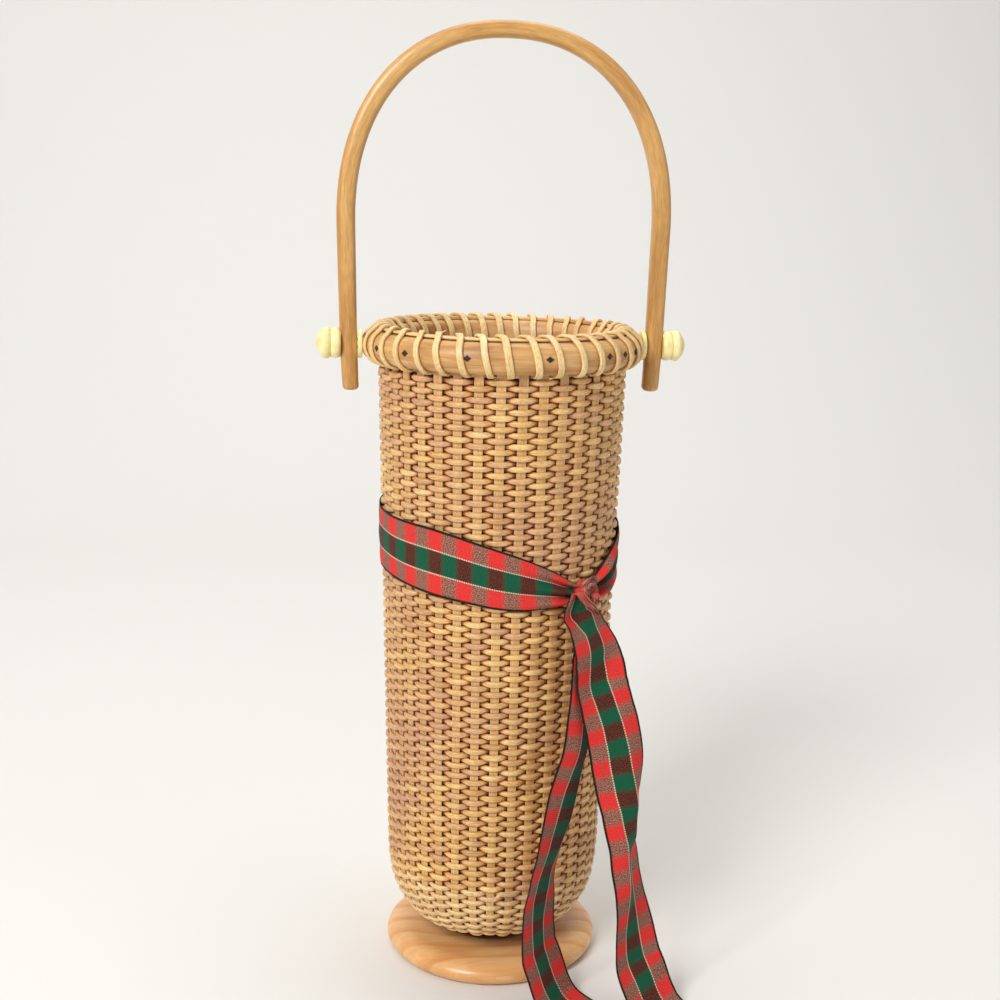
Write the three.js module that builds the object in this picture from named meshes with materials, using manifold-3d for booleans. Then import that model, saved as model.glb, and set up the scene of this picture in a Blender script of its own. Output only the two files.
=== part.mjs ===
// A tall woven basket that carries one wine bottle.
// It stands on a turned foot disc and has a bent swing handle on two turned pegs.
// A ribbon is tied round its body.
// Millimetres, +Z up. The origin is the centre of the foot's underside.
// The handle's pivots lie along X and the ribbon's knot faces front, towards -Y.

import * as THREE from 'three';
import { mergeVertices } from 'three/addons/utils/BufferGeometryUtils.js';
import Module from 'manifold-3d';

const wasm = await Module();
wasm.setup();

// Clearances
const clear = 0.3; // between pieces that touch on the real basket
const pinClear = 0.3; // round the shank of a peg, on the radius
const cutOver = 1; // how far a cutter runs past the face that it cuts
const mergeGap = 1e-4; // corners of one piece closer than this are one

// Facets
const edgeSteps = 3;
const turnedFacets = 16;
const holeFacets = 12;
const knotFacets = [14, 10];
const tailStepsPerRow = 3;

// Foot disc
const footRadius = 45;
const footThickness = 9;
const footEdgeRise = 4.1; // height of the lower round of the edge
const footEdgeReach = 4.1;
const footTopReach = 9;

// Base plug, which holds the lower ends of the staves in its groove
const plugGap = 0.8; // between its side and the lower edge of the weaving
const plugThickness = 11;
const plugGrooveDepth = 4;
const plugGrooveRise = 6.4; // from its underside to the middle of the staves' ends

// Screw that joins the plug to the foot
const screwHeadRadius = 4;
const screwHeadHeight = 2.4;
const screwShankRadius = 1.8;
const screwBite = 6; // how deep it goes into the foot

// Woven wall, measured on its outer face
const wallThickness = 3.4;
const wallFootRadius = 45; // where the straight wall starts
const wallTopRadius = 50.2;
const wallHeight = 207.6; // of the straight wall
const bottomReach = 20; // half axes of the rounded bottom
const bottomDrop = 30;
const bottomEndTurn = THREE.MathUtils.degToRad(70); // where the weaving ends, short of the plug
const bottomSteps = 3;

// Staves
const staveCount = 37;
const staveWidth = 3.4;
const staveThickness = 1;
const staveFootWidth = 2.4;

// Rim
const rimStandoff = 1.9; // bare staves between the weaving and the rim
const hoopHeight = 12;
const outerHoopThickness = 6.2;
const innerHoopThickness = 4.6;
const capThickness = 1.2;
const hoopCorner = 1; // flat left at the top and bottom of each half-round section
const staveTopDepth = 0.6; // the stave tops stop this far below the hoop tops

// Lashing of the rim
const lashingWidth = 2.3;
const lashingThickness = 0.5;
const lashingTurns = [19, 18];
const lashingOuterShare = 0.25; // of a pitch, by which a turn slants on the outer hoop
const lashingInnerShare = 0.27; // and on the inner hoop
const lashingEndGap = 1; // between the ends of the two lengths

// Pivot pegs, washers and inner caps
const pivotRise = 6.3; // above the hoops' lower edge
const shankRadius = 2;
const washerRadius = 6;
const washerThickness = 1.2;
const capDiscRadius = 4.6;
const capDiscThickness = 1.5;
const capSocketDepth = 0.9;
const beadRadius = 6.1;
const beadLength = 3.4;
const neckRadius = 5.3;
const ballRadius = 6.35;
const ballLength = 6.1;
// Outlines of the bead and the ball: shares of the radius and of the length, from the handle outwards.
const beadShares = [[1, 0.35], [1, 0.75]];
const ballShares = [[1, 0.25], [0.83, 0.55], [0.4, 0.82], [0, 1]];

// Handle
const handlePivotWidth = 6.9; // leg width across X at the pivot
const handleEndWidth = 6.5; // at the leg's end
const handleArchWidth = 7.4; // where the arch starts
const handleTopWidth = 6.6; // bar height at the top of the arch
const handleDepth = 8; // front to back
const handleCorner = 1.9; // bevel of the section's corners
const handleLegDrop = 18.6; // how far the legs run below the pivot
const handleRise = 124.8; // pivot to the top of the arch, outside
const handleStraight = 48; // where the legs end and the arch starts, above the pivot
const handleFlare = 0.8; // how much further out the legs stand at the start of the arch
const handleToe = 0.6; // how far the leg ends lean in
const handleEndRound = 1; // round of the leg ends
const handleArchSteps = 26;
const handleFullness = 2.2; // power of the arch's outline; 2 is an ellipse

// Ribbon
const ribbonWidth = 25.4;
const ribbonThickness = 0.5;
const ribbonLift = 0.5; // from the wall to the ribbon
const bandRise = 137.5; // from the start of the straight wall to the band, away from the knot
const bandDrop = 14.5; // how far the band comes down to the knot
const bandSteps = 44;
const bandPullShare = 1 / 3; // of a turn, over which the band comes down to the knot
const bandPullPower = 1.8;
const bandGatherShare = 0.075; // of a turn, over which the band narrows to the knot
const bandKnotShare = 0.25; // of its width that is left under the knot
const knotTurn = THREE.MathUtils.degToRad(34); // from the front towards +X
const knotWidth = 11;
const knotHeight = 14;
const knotThickness = 7;
const pleatDepth = 1.3;
const tailPleatShare = 0.2; // of a tail's drop, over which its pleats run out
const tailCurl = 1.4; // how far a hanging tail bows across its width
const tailApart = 0.4; // between the two tails under the knot

// Tails of the ribbon. Each row of shares is a place along the tail:
// share of the drop, of the sway along X, of the reach forwards, of a half turn, and of the width.
const rightTail = {
  sway: 48,
  reach: 50,
  shares: [
    [0, 0, 0, 0.19, 0.4],
    [0.04, 0.013, 0.07, 0.19, 0.55],
    [0.15, 0.1, 0.144, 0.19, 0.85],
    [0.26, 0.185, 0.19, 0.19, 1],
    [0.38, 0.25, 0.234, 0.2, 1],
    [0.5, 0.283, 0.274, 0.27, 1],
    [0.62, 0.325, 0.314, 0.35, 1],
    [0.74, 0.394, 0.358, 0.32, 1],
    [0.86, 0.45, 0.4, 0.26, 1],
    [0.95, 0.533, 0.452, 0.2, 1],
    [0.99, 0.635, 0.54, 0.2, 1],
    [1, 0.742, 0.66, 0.2, 1],
    [1, 1, 1, 0.2, 1],
  ],
};
const leftTail = {
  sway: -16,
  reach: 36,
  shares: [
    [0, 0, 0, 0.19, 0.25],
    [0.1, 0.16, 0.133, 0.32, 0.45],
    [0.19, 0.16, 0.2, 0.37, 0.65],
    [0.29, 0.175, 0.239, 0.37, 0.85],
    [0.39, 0.36, 0.264, 0.36, 1],
    [0.48, 0.57, 0.289, 0.35, 1],
    [0.585, 0.79, 0.311, 0.35, 1],
    [0.68, 0.975, 0.336, 0.34, 1],
    [0.785, 0.98, 0.372, 0.32, 1],
    [0.89, 0.83, 0.414, 0.3, 1],
    [0.97, 0.57, 0.475, 0.28, 1],
    [0.995, 0.29, 0.572, 0.27, 1],
    [1, 0, 0.689, 0.26, 1],
    [1, -0.75, 1, 0.26, 1],
  ],
};

const turnOfPitch = 2 * Math.PI / staveCount;

// Heights, each from what it stands on
const staveMiddle = wallThickness / 2; // depth of the staves' middle under the wall's outer face
const plugBottom = footThickness + clear;
const plugTop = plugBottom + plugThickness;
const wallFootHeight = plugBottom + plugGrooveRise - staveMiddle + bottomDrop;
const wallTopHeight = wallFootHeight + wallHeight;
const rimBottomHeight = wallTopHeight + rimStandoff;
const hoopTopHeight = rimBottomHeight + hoopHeight;
const rimTopHeight = hoopTopHeight + clear + capThickness;
const pivotHeight = rimBottomHeight + pivotRise;
const bandHeight = wallFootHeight + bandRise;

// Materials

function material(color, roughness, metalness = 0) {
  return new THREE.MeshStandardMaterial({ color, roughness, metalness });
}

const finishes = {
  foot: material(0xd9a066, 0.35),
  plug: material(0xcf9c66, 0.5),
  screw: material(0xb8b8b4, 0.35, 1),
  stave: material(0xe0bb84, 0.65),
  weave: material(0xd8b078, 0.7),
  hoop: material(0xc79c6a, 0.5),
  lashing: material(0xebcb8e, 0.55),
  handle: material(0xdda560, 0.4),
  bone: material(0xf5edb0, 0.35),
  ribbon: material(0xa8303a, 0.75),
};

const basket = new THREE.Group();

function addPiece(name, geometry, finish, parent = basket) {
  const mesh = new THREE.Mesh(geometry, finish);
  mesh.name = name;
  parent.add(mesh);
  return mesh;
}

// Geometry helpers

function toSolid(geometry) {
  const bare = geometry.clone();
  for (const attribute of ['normal', 'uv']) {
    bare.deleteAttribute(attribute);
  }
  const merged = mergeVertices(bare, mergeGap);
  return new wasm.Manifold(new wasm.Mesh({
    numProp: 3,
    vertProperties: new Float32Array(merged.attributes.position.array),
    triVerts: new Uint32Array(merged.index.array),
  }));
}

function fromSolid(solid) {
  const mesh = solid.getMesh();
  const geometry = new THREE.BufferGeometry();
  geometry.setAttribute('position', new THREE.BufferAttribute(mesh.vertProperties.slice(), 3));
  geometry.setIndex([...mesh.triVerts]);
  geometry.computeVertexNormals();
  return geometry;
}

function cut(geometry, ...cutters) {
  const tools = cutters.map(toSolid);
  return fromSolid(tools.reduce((solid, tool) => solid.subtract(tool), toSolid(geometry)));
}

// Lathe about Z from a list of [radius, height] pairs, wound from the bottom outwards and up.
function turned(profile, facets) {
  const points = profile.map(([radius, height]) => new THREE.Vector2(radius, height));
  return new THREE.LatheGeometry(points, facets).rotateX(Math.PI / 2);
}

// Points of a quarter ellipse about (radius, height), from one angle to another.
function arcPoints(radius, height, reach, rise, from, to, steps) {
  return Array.from({ length: steps + 1 }, (_, step) => {
    const turn = from + (to - from) * step / steps;
    return [radius + reach * Math.cos(turn), height + rise * Math.sin(turn)];
  });
}

// A closed solid from rings of equal length, joined in order and capped at both ends, or looped.
// A ring's second half runs back along its first half, and its faces are split the same way,
// so that the two sides of a thin twisted strip stay apart.
function loftRings(rings, looped = false) {
  const size = rings[0].length;
  const positions = rings.flat().flatMap((point) => [point.x, point.y, point.z]);
  const index = [];
  const bands = looped ? rings.length : rings.length - 1;
  for (let row = 0; row < bands; row += 1) {
    const next = (row + 1) % rings.length;
    for (let side = 0; side < size; side += 1) {
      const beside = (side + 1) % size;
      const [a, b] = [row * size + side, row * size + beside];
      const [c, d] = [next * size + side, next * size + beside];
      index.push(...(side < size / 2 ? [a, b, d, a, d, c] : [a, b, c, b, d, c]));
    }
  }
  if (!looped) {
    capRing(index, 0, size, true);
    capRing(index, (rings.length - 1) * size, size, false);
  }
  return closedGeometry(positions, index);
}

// A geometry from flat lists of coordinates and corners, with its faces turned outwards.
function closedGeometry(positions, index) {
  const corner = (place) => new THREE.Vector3().fromArray(positions, index[place] * 3);
  let volume = 0;
  for (let place = 0; place < index.length; place += 3) {
    volume += corner(place).dot(corner(place + 1).cross(corner(place + 2)));
  }
  const geometry = new THREE.BufferGeometry();
  geometry.setAttribute('position', new THREE.Float32BufferAttribute(positions, 3));
  geometry.setIndex(volume < 0 ? index.reverse() : index);
  geometry.computeVertexNormals();
  return geometry;
}

// Caps a ring whose second half runs back along its first half.
function capRing(index, start, size, reversed) {
  for (let step = 0; step < size / 2 - 1; step += 1) {
    const [a, b] = [start + step, start + step + 1];
    const [c, d] = [start + size - 2 - step, start + size - 1 - step];
    const faces = reversed ? [[a, d, b], [b, d, c]] : [[a, b, d], [b, c, d]];
    faces.forEach((face) => index.push(...face));
  }
}

function around(radius, turn, height) {
  return new THREE.Vector3(radius * Math.cos(turn), radius * Math.sin(turn), height);
}

// Shape of the wall

// Outer radius of the straight part at a height.
function wallRadius(height) {
  const share = (height - wallFootHeight) / (wallTopHeight - wallFootHeight);
  return wallFootRadius + (wallTopRadius - wallFootRadius) * share;
}

// Places along the wall from its top to the plug: [radius, height] at a depth under the outer face.
function wallPath(depth, topHeight, endTurn, steps) {
  const places = [[wallRadius(topHeight) - depth, topHeight]];
  for (let step = 0; step <= steps; step += 1) {
    const turn = endTurn * step / steps;
    const normal = new THREE.Vector2(Math.cos(turn) / bottomReach, -Math.sin(turn) / bottomDrop).normalize();
    places.push([
      wallFootRadius - bottomReach * (1 - Math.cos(turn)) - depth * normal.x,
      wallFootHeight - bottomDrop * Math.sin(turn) - depth * normal.y,
    ]);
  }
  return places;
}

const staveDepth = staveMiddle - staveThickness / 2; // from the outer face to a stave's outer face
const staveOuterAtRim = wallRadius(hoopTopHeight) - staveDepth;
const staveInnerAtRim = wallRadius(rimBottomHeight) - staveDepth - staveThickness;
const [weaveEndRadius] = wallPath(wallThickness, wallTopHeight, bottomEndTurn, bottomSteps).pop();
const plugRadius = weaveEndRadius - plugGap;

// Foot, plug and screw

const screwTop = plugTop - clear;
const screwTip = footThickness - screwBite;
const holeRadius = screwShankRadius + pinClear;

function makeFoot() {
  const topRise = footThickness - footEdgeRise;
  return turned([
    [0, 0],
    ...arcPoints(footRadius - footEdgeReach, footEdgeRise, footEdgeReach, footEdgeRise, -Math.PI / 2, 0, edgeSteps),
    ...arcPoints(footRadius - footTopReach, footEdgeRise, footTopReach, topRise, 0, Math.PI / 2, edgeSteps).slice(1),
    [holeRadius, footThickness],
    [holeRadius, screwTip - clear],
    [0, screwTip - clear],
  ], staveCount);
}

// A stave's centre line: from the rim down the wall and round into the plug's groove.
const staveEnd = [plugRadius - plugGrooveDepth + clear, plugBottom + plugGrooveRise];
const wallEnds = wallPath(staveMiddle, wallTopHeight, bottomEndTurn, bottomSteps);
const lastOfWall = wallEnds[wallEnds.length - 1];
const staveSlope = (lastOfWall[1] - staveEnd[1]) / (lastOfWall[0] - staveEnd[0]);
const grooveBottom = staveEnd[1] - staveThickness / 2 - clear;
const grooveTop = staveEnd[1] + staveSlope * (plugRadius - staveEnd[0])
  + staveThickness / 2 * Math.hypot(1, staveSlope) + clear;

function makePlug() {
  const grooveRadius = plugRadius - plugGrooveDepth;
  const recess = screwHeadRadius + pinClear;
  const seat = screwTop - screwHeadHeight - clear;
  return turned([
    [holeRadius, plugBottom],
    [plugRadius, plugBottom],
    [plugRadius, grooveBottom],
    [grooveRadius, grooveBottom],
    [grooveRadius, grooveTop],
    [plugRadius, grooveTop],
    [plugRadius, plugTop],
    [recess, plugTop],
    [recess, seat],
    [holeRadius, seat],
    [holeRadius, plugBottom],
  ], staveCount);
}

function makeScrew() {
  const underHead = screwTop - screwHeadHeight;
  return turned([
    [0, screwTip],
    [screwShankRadius, screwTip + screwShankRadius],
    [screwShankRadius, underHead],
    [screwHeadRadius, underHead],
    [screwHeadRadius, screwTop],
    [0, screwTop],
  ], turnedFacets);
}

addPiece('foot_disc', makeFoot(), finishes.foot);
addPiece('base_plug', makePlug(), finishes.plug);
addPiece('base_screw', makeScrew(), finishes.screw);

// Woven wall: one shell with a slot for each stave, which runs from its top to its lower edge

function staveWidthAt(radius) {
  const share = (radius - plugRadius) / (wallTopRadius - plugRadius);
  return staveFootWidth + (staveWidth - staveFootWidth) * share;
}

// Turns a stave-sized offset across the wall into a point at one stave's place.
function besideStave(stave, radius, side, height) {
  const turn = stave * turnOfPitch;
  const point = new THREE.Vector3(radius, side, height);
  return point.applyAxisAngle(new THREE.Vector3(0, 0, 1), turn);
}

function makeWall() {
  const depths = {
    outer: 0,
    slotOuter: staveDepth - clear,
    slotInner: staveDepth + staveThickness + clear,
    inner: wallThickness,
  };
  const paths = Object.fromEntries(Object.entries(depths).map(([name, depth]) => (
    [name, wallPath(depth, wallTopHeight, bottomEndTurn, bottomSteps)]
  )));
  const levels = paths.outer.length;
  const positions = [];
  // Six points for each stave on each level: outer skin, four slot corners, inner skin.
  for (let level = 0; level < levels; level += 1) {
    const half = staveWidthAt(wallEnds[level][0]) / 2 + clear;
    for (let stave = 0; stave < staveCount; stave += 1) {
      const place = (path, side) => besideStave(stave, paths[path][level][0], side, paths[path][level][1]);
      const points = [
        place('outer', 0),
        place('slotOuter', -half),
        place('slotOuter', half),
        place('slotInner', half),
        place('slotInner', -half),
        place('inner', 0),
      ];
      points.forEach((point) => positions.push(point.x, point.y, point.z));
    }
  }
  const at = (level, stave, corner) => (level * staveCount + stave % staveCount) * 6 + corner;
  const index = [];
  const quad = (a, b, c, d) => index.push(a, b, c, a, c, d);
  for (let stave = 0; stave < staveCount; stave += 1) {
    for (let level = 0; level < levels - 1; level += 1) {
      const wall = (from, to, stepFrom, stepTo) => quad(
        at(level, stave + stepFrom, from),
        at(level + 1, stave + stepFrom, from),
        at(level + 1, stave + stepTo, to),
        at(level, stave + stepTo, to),
      );
      wall(0, 0, 0, 1);
      wall(5, 5, 1, 0);
      wall(2, 1, 0, 0);
      wall(3, 2, 0, 0);
      wall(4, 3, 0, 0);
      wall(1, 4, 0, 0);
    }
    for (const [level, up] of [[0, true], [levels - 1, false]]) {
      const here = (corner) => at(level, stave, corner);
      const next = (corner) => at(level, stave + 1, corner);
      const faces = [
        [here(0), next(0), next(1)],
        [here(0), next(1), here(2)],
        [here(2), next(1), next(4)],
        [here(2), next(4), here(3)],
        [here(3), next(4), next(5)],
        [here(3), next(5), here(5)],
        [here(0), here(2), here(1)],
        [here(5), here(4), here(3)],
      ];
      faces.forEach(([a, b, c]) => index.push(...(up ? [a, b, c] : [a, c, b])));
    }
  }
  return closedGeometry(positions, index);
}

addPiece('woven_wall', makeWall(), finishes.weave);

// Staves: flat ribs that taper towards the plug. One that would meet a peg's shank ends below it.

const staveRimTop = hoopTopHeight - staveTopDepth;

function makeStave(stave) {
  const aside = Math.abs(Math.sin(stave * turnOfPitch)) * wallTopRadius;
  const meetsPeg = aside < shankRadius + pinClear + staveWidth / 2;
  const top = meetsPeg ? pivotHeight - shankRadius - pinClear : staveRimTop;
  const places = [...wallPath(staveMiddle, top, bottomEndTurn, bottomSteps), staveEnd];
  const rings = places.map(([radius, height], row) => {
    const before = places[Math.max(row - 1, 0)];
    const after = places[Math.min(row + 1, places.length - 1)];
    const along = new THREE.Vector2(after[0] - before[0], after[1] - before[1]).normalize();
    const normal = new THREE.Vector2(-along.y, along.x).multiplyScalar(staveThickness / 2);
    const half = staveWidthAt(Math.max(radius, plugRadius)) / 2;
    return [[1, -half], [1, half], [-1, half], [-1, -half]].map(([face, side]) => (
      besideStave(stave, radius + face * normal.x, side, height + face * normal.y)
    ));
  });
  return loftRings(rings);
}

for (let stave = 0; stave < staveCount; stave += 1) {
  const name = `stave_${String(stave + 1).padStart(2, '0')}`;
  addPiece(name, makeStave(stave), finishes.stave);
}

// Rim: two half-round hoops with a thin cap over the stave tops

const rimMiddle = rimBottomHeight + hoopHeight / 2;
const outerHoopInner = staveOuterAtRim + clear;
const innerHoopOuter = staveInnerAtRim - clear;
const hoopTurns = [-60, -20, 20, 60].map(THREE.MathUtils.degToRad);

// Places on a hoop's round side, at a distance off its surface. A side of 1 faces out, and -1 in.
function hoopRound(side, off) {
  const flat = side > 0 ? outerHoopInner : innerHoopOuter;
  const thickness = side > 0 ? outerHoopThickness : innerHoopThickness;
  return hoopTurns.map((turn) => [
    flat + side * (hoopCorner + (thickness - hoopCorner + off) * Math.cos(turn)),
    rimMiddle + (hoopHeight / 2 + off) * Math.sin(turn),
  ]);
}

function shankHole(side) {
  const length = outerHoopInner + outerHoopThickness + cutOver;
  return new THREE.CylinderGeometry(shankRadius + pinClear, shankRadius + pinClear, length, holeFacets)
    .rotateZ(Math.PI / 2)
    .translate(side * length / 2, 0, pivotHeight);
}

function makeHoop(side) {
  const flat = side > 0 ? outerHoopInner : innerHoopOuter;
  const profile = [
    [flat, rimBottomHeight],
    [flat + side * hoopCorner, rimBottomHeight],
    ...hoopRound(side, 0),
    [flat + side * hoopCorner, hoopTopHeight],
    [flat, hoopTopHeight],
    [flat, rimBottomHeight],
  ];
  const ring = turned(side > 0 ? profile : profile.reverse(), staveCount).rotateZ(Math.PI / 2);
  return cut(ring, shankHole(1), shankHole(-1));
}

const capInner = innerHoopOuter - hoopCorner;
const capOuter = outerHoopInner + hoopCorner;
const capBottomHeight = hoopTopHeight + clear;

function makeCap() {
  return turned([
    [capInner, capBottomHeight],
    [capOuter, capBottomHeight],
    [capOuter, rimTopHeight],
    [capInner, rimTopHeight],
    [capInner, capBottomHeight],
  ], staveCount).rotateZ(Math.PI / 2);
}

addPiece('outer_rim_hoop', makeHoop(1), finishes.hoop);
addPiece('inner_rim_hoop', makeHoop(-1), finishes.hoop);
addPiece('rim_cap', makeCap(), finishes.hoop);

// Lashing: flat strips wound round the rim, one turn in each gap between staves

const lashingOff = clear + lashingThickness / 2;
const shankKeepOut = shankRadius + pinClear + lashingWidth / 2 + clear;

// One turn as [radius, height, share of a pitch], from under the inner hoop, up, over and down outside.
function lashingTurn() {
  const riseShare = (height) => (height - rimBottomHeight) / hoopHeight;
  const under = rimBottomHeight - lashingOff;
  const over = rimTopHeight + lashingOff;
  const inside = hoopRound(-1, lashingOff).map(([radius, height]) => (
    [radius, height, lashingInnerShare * riseShare(height)]
  ));
  const outside = hoopRound(1, lashingOff).reverse().map(([radius, height]) => (
    [radius, height, 1 - lashingOuterShare * riseShare(height)]
  ));
  const acrossShare = (1 - lashingOuterShare - lashingInnerShare) / 3;
  return [
    [capInner, under, 0],
    ...inside,
    [capInner - lashingOff, over, lashingInnerShare + acrossShare],
    [capOuter + lashingOff, over, 1 - lashingOuterShare - acrossShare],
    ...outside,
    [capOuter, under, 1],
  ];
}

// Moves a strip aside where it would cross a peg's shank.
function clearOfShank(radius, height, turn) {
  const axisTurn = Math.round(turn / Math.PI) * Math.PI;
  const aside = (turn - axisTurn) * radius;
  const nearShank = Math.abs(height - pivotHeight) < shankKeepOut + lashingWidth;
  if (!nearShank || Math.abs(aside) >= shankKeepOut) {
    return turn;
  }
  return axisTurn + Math.sign(aside) * shankKeepOut / radius;
}

function lashingRoute(firstGap, turns) {
  const places = [];
  for (let gap = firstGap; gap < firstGap + turns; gap += 1) {
    for (const [radius, height, share] of lashingTurn()) {
      const turn = (gap - 0.5 + share) * turnOfPitch;
      places.push([radius, height, clearOfShank(radius, height, turn)]);
    }
  }
  const middle = (capInner + capOuter) / 2;
  const under = rimBottomHeight - lashingOff;
  const endTurn = (firstGap + turns - 0.5) * turnOfPitch;
  places.push([middle + lashingEndGap / 2, under, endTurn]);
  places[0] = [middle - lashingEndGap / 2, under, (firstGap - 0.5) * turnOfPitch];
  places.splice(1, 0, [capInner, under, (firstGap - 0.5) * turnOfPitch]);
  return places;
}

function makeLashing(firstGap, turns, name) {
  const route = lashingRoute(firstGap, turns);
  const points = route.map(([radius, height, turn]) => around(radius, turn, height));
  reportLeastGap(name, points, lashingTurn().length, lashingWidth);
  const rings = points.map((point, row) => {
    const last = points.length - 1;
    const along = points[Math.min(row + 1, last)].clone().sub(points[Math.max(row - 1, 0)]).normalize();
    const before = route[Math.max(row - 1, 0)];
    const after = route[Math.min(row + 1, last)];
    const steep = new THREE.Vector2(after[0] - before[0], after[1] - before[1]).normalize();
    const turn = route[row][2];
    const normal = new THREE.Vector3(-steep.y * Math.cos(turn), -steep.y * Math.sin(turn), steep.x);
    const across = new THREE.Vector3().crossVectors(along, normal).normalize();
    const out = new THREE.Vector3().crossVectors(across, along).multiplyScalar(lashingThickness / 2);
    across.multiplyScalar(lashingWidth / 2);
    return [[1, 1], [1, -1], [-1, -1], [-1, 1]].map(([face, side]) => (
      point.clone().addScaledVector(out, face).addScaledVector(across, side)
    ));
  });
  return loftRings(rings);
}

// Prints the least distance between the strip and its own next turns, less its width.
function reportLeastGap(name, points, perTurn, width) {
  let least = Infinity;
  points.forEach((point, row) => {
    for (let other = row + Math.ceil(perTurn / 2); other < points.length; other += 1) {
      least = Math.min(least, point.distanceTo(points[other]) - width);
    }
  });
  console.log(`${name}: least gap to itself ${least.toFixed(2)} mm`);
}

addPiece('rim_lashing_back', makeLashing(1, lashingTurns[0], 'rim_lashing_back'), finishes.lashing);
addPiece(
  'rim_lashing_front',
  makeLashing(1 + lashingTurns[0], lashingTurns[1], 'rim_lashing_front'),
  finishes.lashing,
);

// Pegs, washers and inner caps, each made along +X and turned round for the left side

const rimOutside = outerHoopInner + outerHoopThickness + clear + lashingThickness;
const washerStart = rimOutside + clear;
const legInside = washerStart + washerThickness + clear;
const legOutside = legInside + handlePivotWidth;
const beadStart = legOutside + clear;
const rimInside = innerHoopOuter - innerHoopThickness - clear - lashingThickness;
const capDiscEnd = Math.sqrt(rimInside ** 2 - capDiscRadius ** 2) - clear;
const shankEnd = capDiscEnd - capSocketDepth + clear;

// Lathe about the pivot axis from [radius, distance from the centre of the basket] pairs.
function turnedOnPivot(profile, facets, side) {
  return turned(profile, facets)
    .rotateY(side * Math.PI / 2)
    .translate(0, 0, pivotHeight);
}

function makePeg(side) {
  const ballStart = beadStart + beadLength;
  return turnedOnPivot([
    [0, shankEnd],
    [shankRadius, shankEnd],
    [shankRadius, beadStart],
    [neckRadius, beadStart],
    ...beadShares.map(([radius, length]) => [beadRadius * radius, beadStart + beadLength * length]),
    [neckRadius, ballStart],
    ...ballShares.map(([radius, length]) => [ballRadius * radius, ballStart + ballLength * length]),
  ], turnedFacets, side);
}

function makeWasher(side) {
  const hole = shankRadius + pinClear;
  const end = washerStart + washerThickness;
  return turnedOnPivot([
    [hole, washerStart],
    [washerRadius, washerStart],
    [washerRadius, end],
    [hole, end],
    [hole, washerStart],
  ], turnedFacets, side);
}

function makeCapDisc(side) {
  const hole = shankRadius + pinClear;
  const start = capDiscEnd - capDiscThickness;
  return turnedOnPivot([
    [0, start],
    [capDiscRadius, start],
    [capDiscRadius, capDiscEnd],
    [hole, capDiscEnd],
    [hole, capDiscEnd - capSocketDepth],
    [0, capDiscEnd - capSocketDepth],
  ], turnedFacets, side);
}

for (const [name, side] of [['left', -1], ['right', 1]]) {
  addPiece(`peg_${name}`, makePeg(side), finishes.bone);
  addPiece(`washer_${name}`, makeWasher(side), finishes.bone);
  addPiece(`peg_cap_${name}`, makeCapDisc(side), finishes.bone);
}

// Handle: one bent bar with bevelled corners, from one leg's end over the arch to the other's

function handleSection(inner, outer, inset) {
  const wide = outer.clone().sub(inner).normalize();
  const half = handleDepth / 2 - inset;
  const from = inner.clone().addScaledVector(wide, inset);
  const to = outer.clone().addScaledVector(wide, -inset);
  const bevel = handleCorner;
  const corner = (base, across, depth) => base.clone().addScaledVector(wide, across)
    .add(new THREE.Vector3(0, depth, 0));
  return [
    corner(from, bevel, -half),
    corner(to, -bevel, -half),
    corner(to, 0, -half + bevel),
    corner(to, 0, half - bevel),
    corner(to, -bevel, half),
    corner(from, bevel, half),
    corner(from, 0, half - bevel),
    corner(from, 0, -half + bevel),
  ];
}

function handleLegSections() {
  const endHeight = pivotHeight - handleLegDrop;
  const endInside = legInside - handleToe;
  const point = (reach, height) => new THREE.Vector3(reach, 0, height);
  const ends = [0, handleEndRound].map((rise) => handleSection(
    point(endInside, endHeight + rise),
    point(endInside + handleEndWidth, endHeight + rise),
    handleEndRound - rise,
  ));
  return [...ends, handleSection(point(legInside, pivotHeight), point(legOutside, pivotHeight), 0)];
}

function handleArchSections() {
  const startInside = legInside + handleFlare;
  const startOutside = startInside + handleArchWidth;
  const rise = handleRise - handleStraight;
  const on = (reach, top, turn) => {
    const power = 2 / handleFullness;
    return new THREE.Vector3(
      Math.sign(Math.cos(turn)) * reach * Math.abs(Math.cos(turn)) ** power,
      0,
      pivotHeight + handleStraight + top * Math.abs(Math.sin(turn)) ** power,
    );
  };
  return Array.from({ length: handleArchSteps + 1 }, (_, step) => {
    const turn = Math.PI * step / handleArchSteps;
    return handleSection(on(startInside, rise - handleTopWidth, turn), on(startOutside, rise, turn), 0);
  });
}

function makeHandle() {
  const mirrored = (ring) => ring.map((point) => new THREE.Vector3(-point.x, point.y, point.z));
  const legs = handleLegSections();
  const rings = [...legs, ...handleArchSections(), ...legs.map(mirrored).reverse()];
  const length = legOutside - legInside + handleFlare + handleToe + 2 * cutOver;
  const holes = [1, -1].map((side) => (
    new THREE.CylinderGeometry(shankRadius + pinClear, shankRadius + pinClear, length, holeFacets)
      .rotateZ(Math.PI / 2)
      .translate(side * (legInside + legOutside) / 2, 0, pivotHeight)
  ));
  return cut(loftRings(rings), ...holes);
}

addPiece('handle', makeHandle(), finishes.handle);

// Ribbon: a band round the body, a knot, and two tails that hang to the ground

const acrossShares = [-1, -0.5, 0, 0.5, 1];
const pleatShares = [0, 1, 0, 1, 0];

// A closed ring across a ribbon: its outer face one way and its inner face back.
function ribbonRing(centre, wide, normal, half, fold) {
  const face = (off) => acrossShares.map((share, column) => (
    centre.clone()
      .addScaledVector(wide, share * half)
      .addScaledVector(normal, off + fold(share, pleatShares[column]))
  ));
  return [...face(ribbonThickness), ...face(0).reverse()];
}

const knotPlace = bandHeight - bandDrop;

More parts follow.
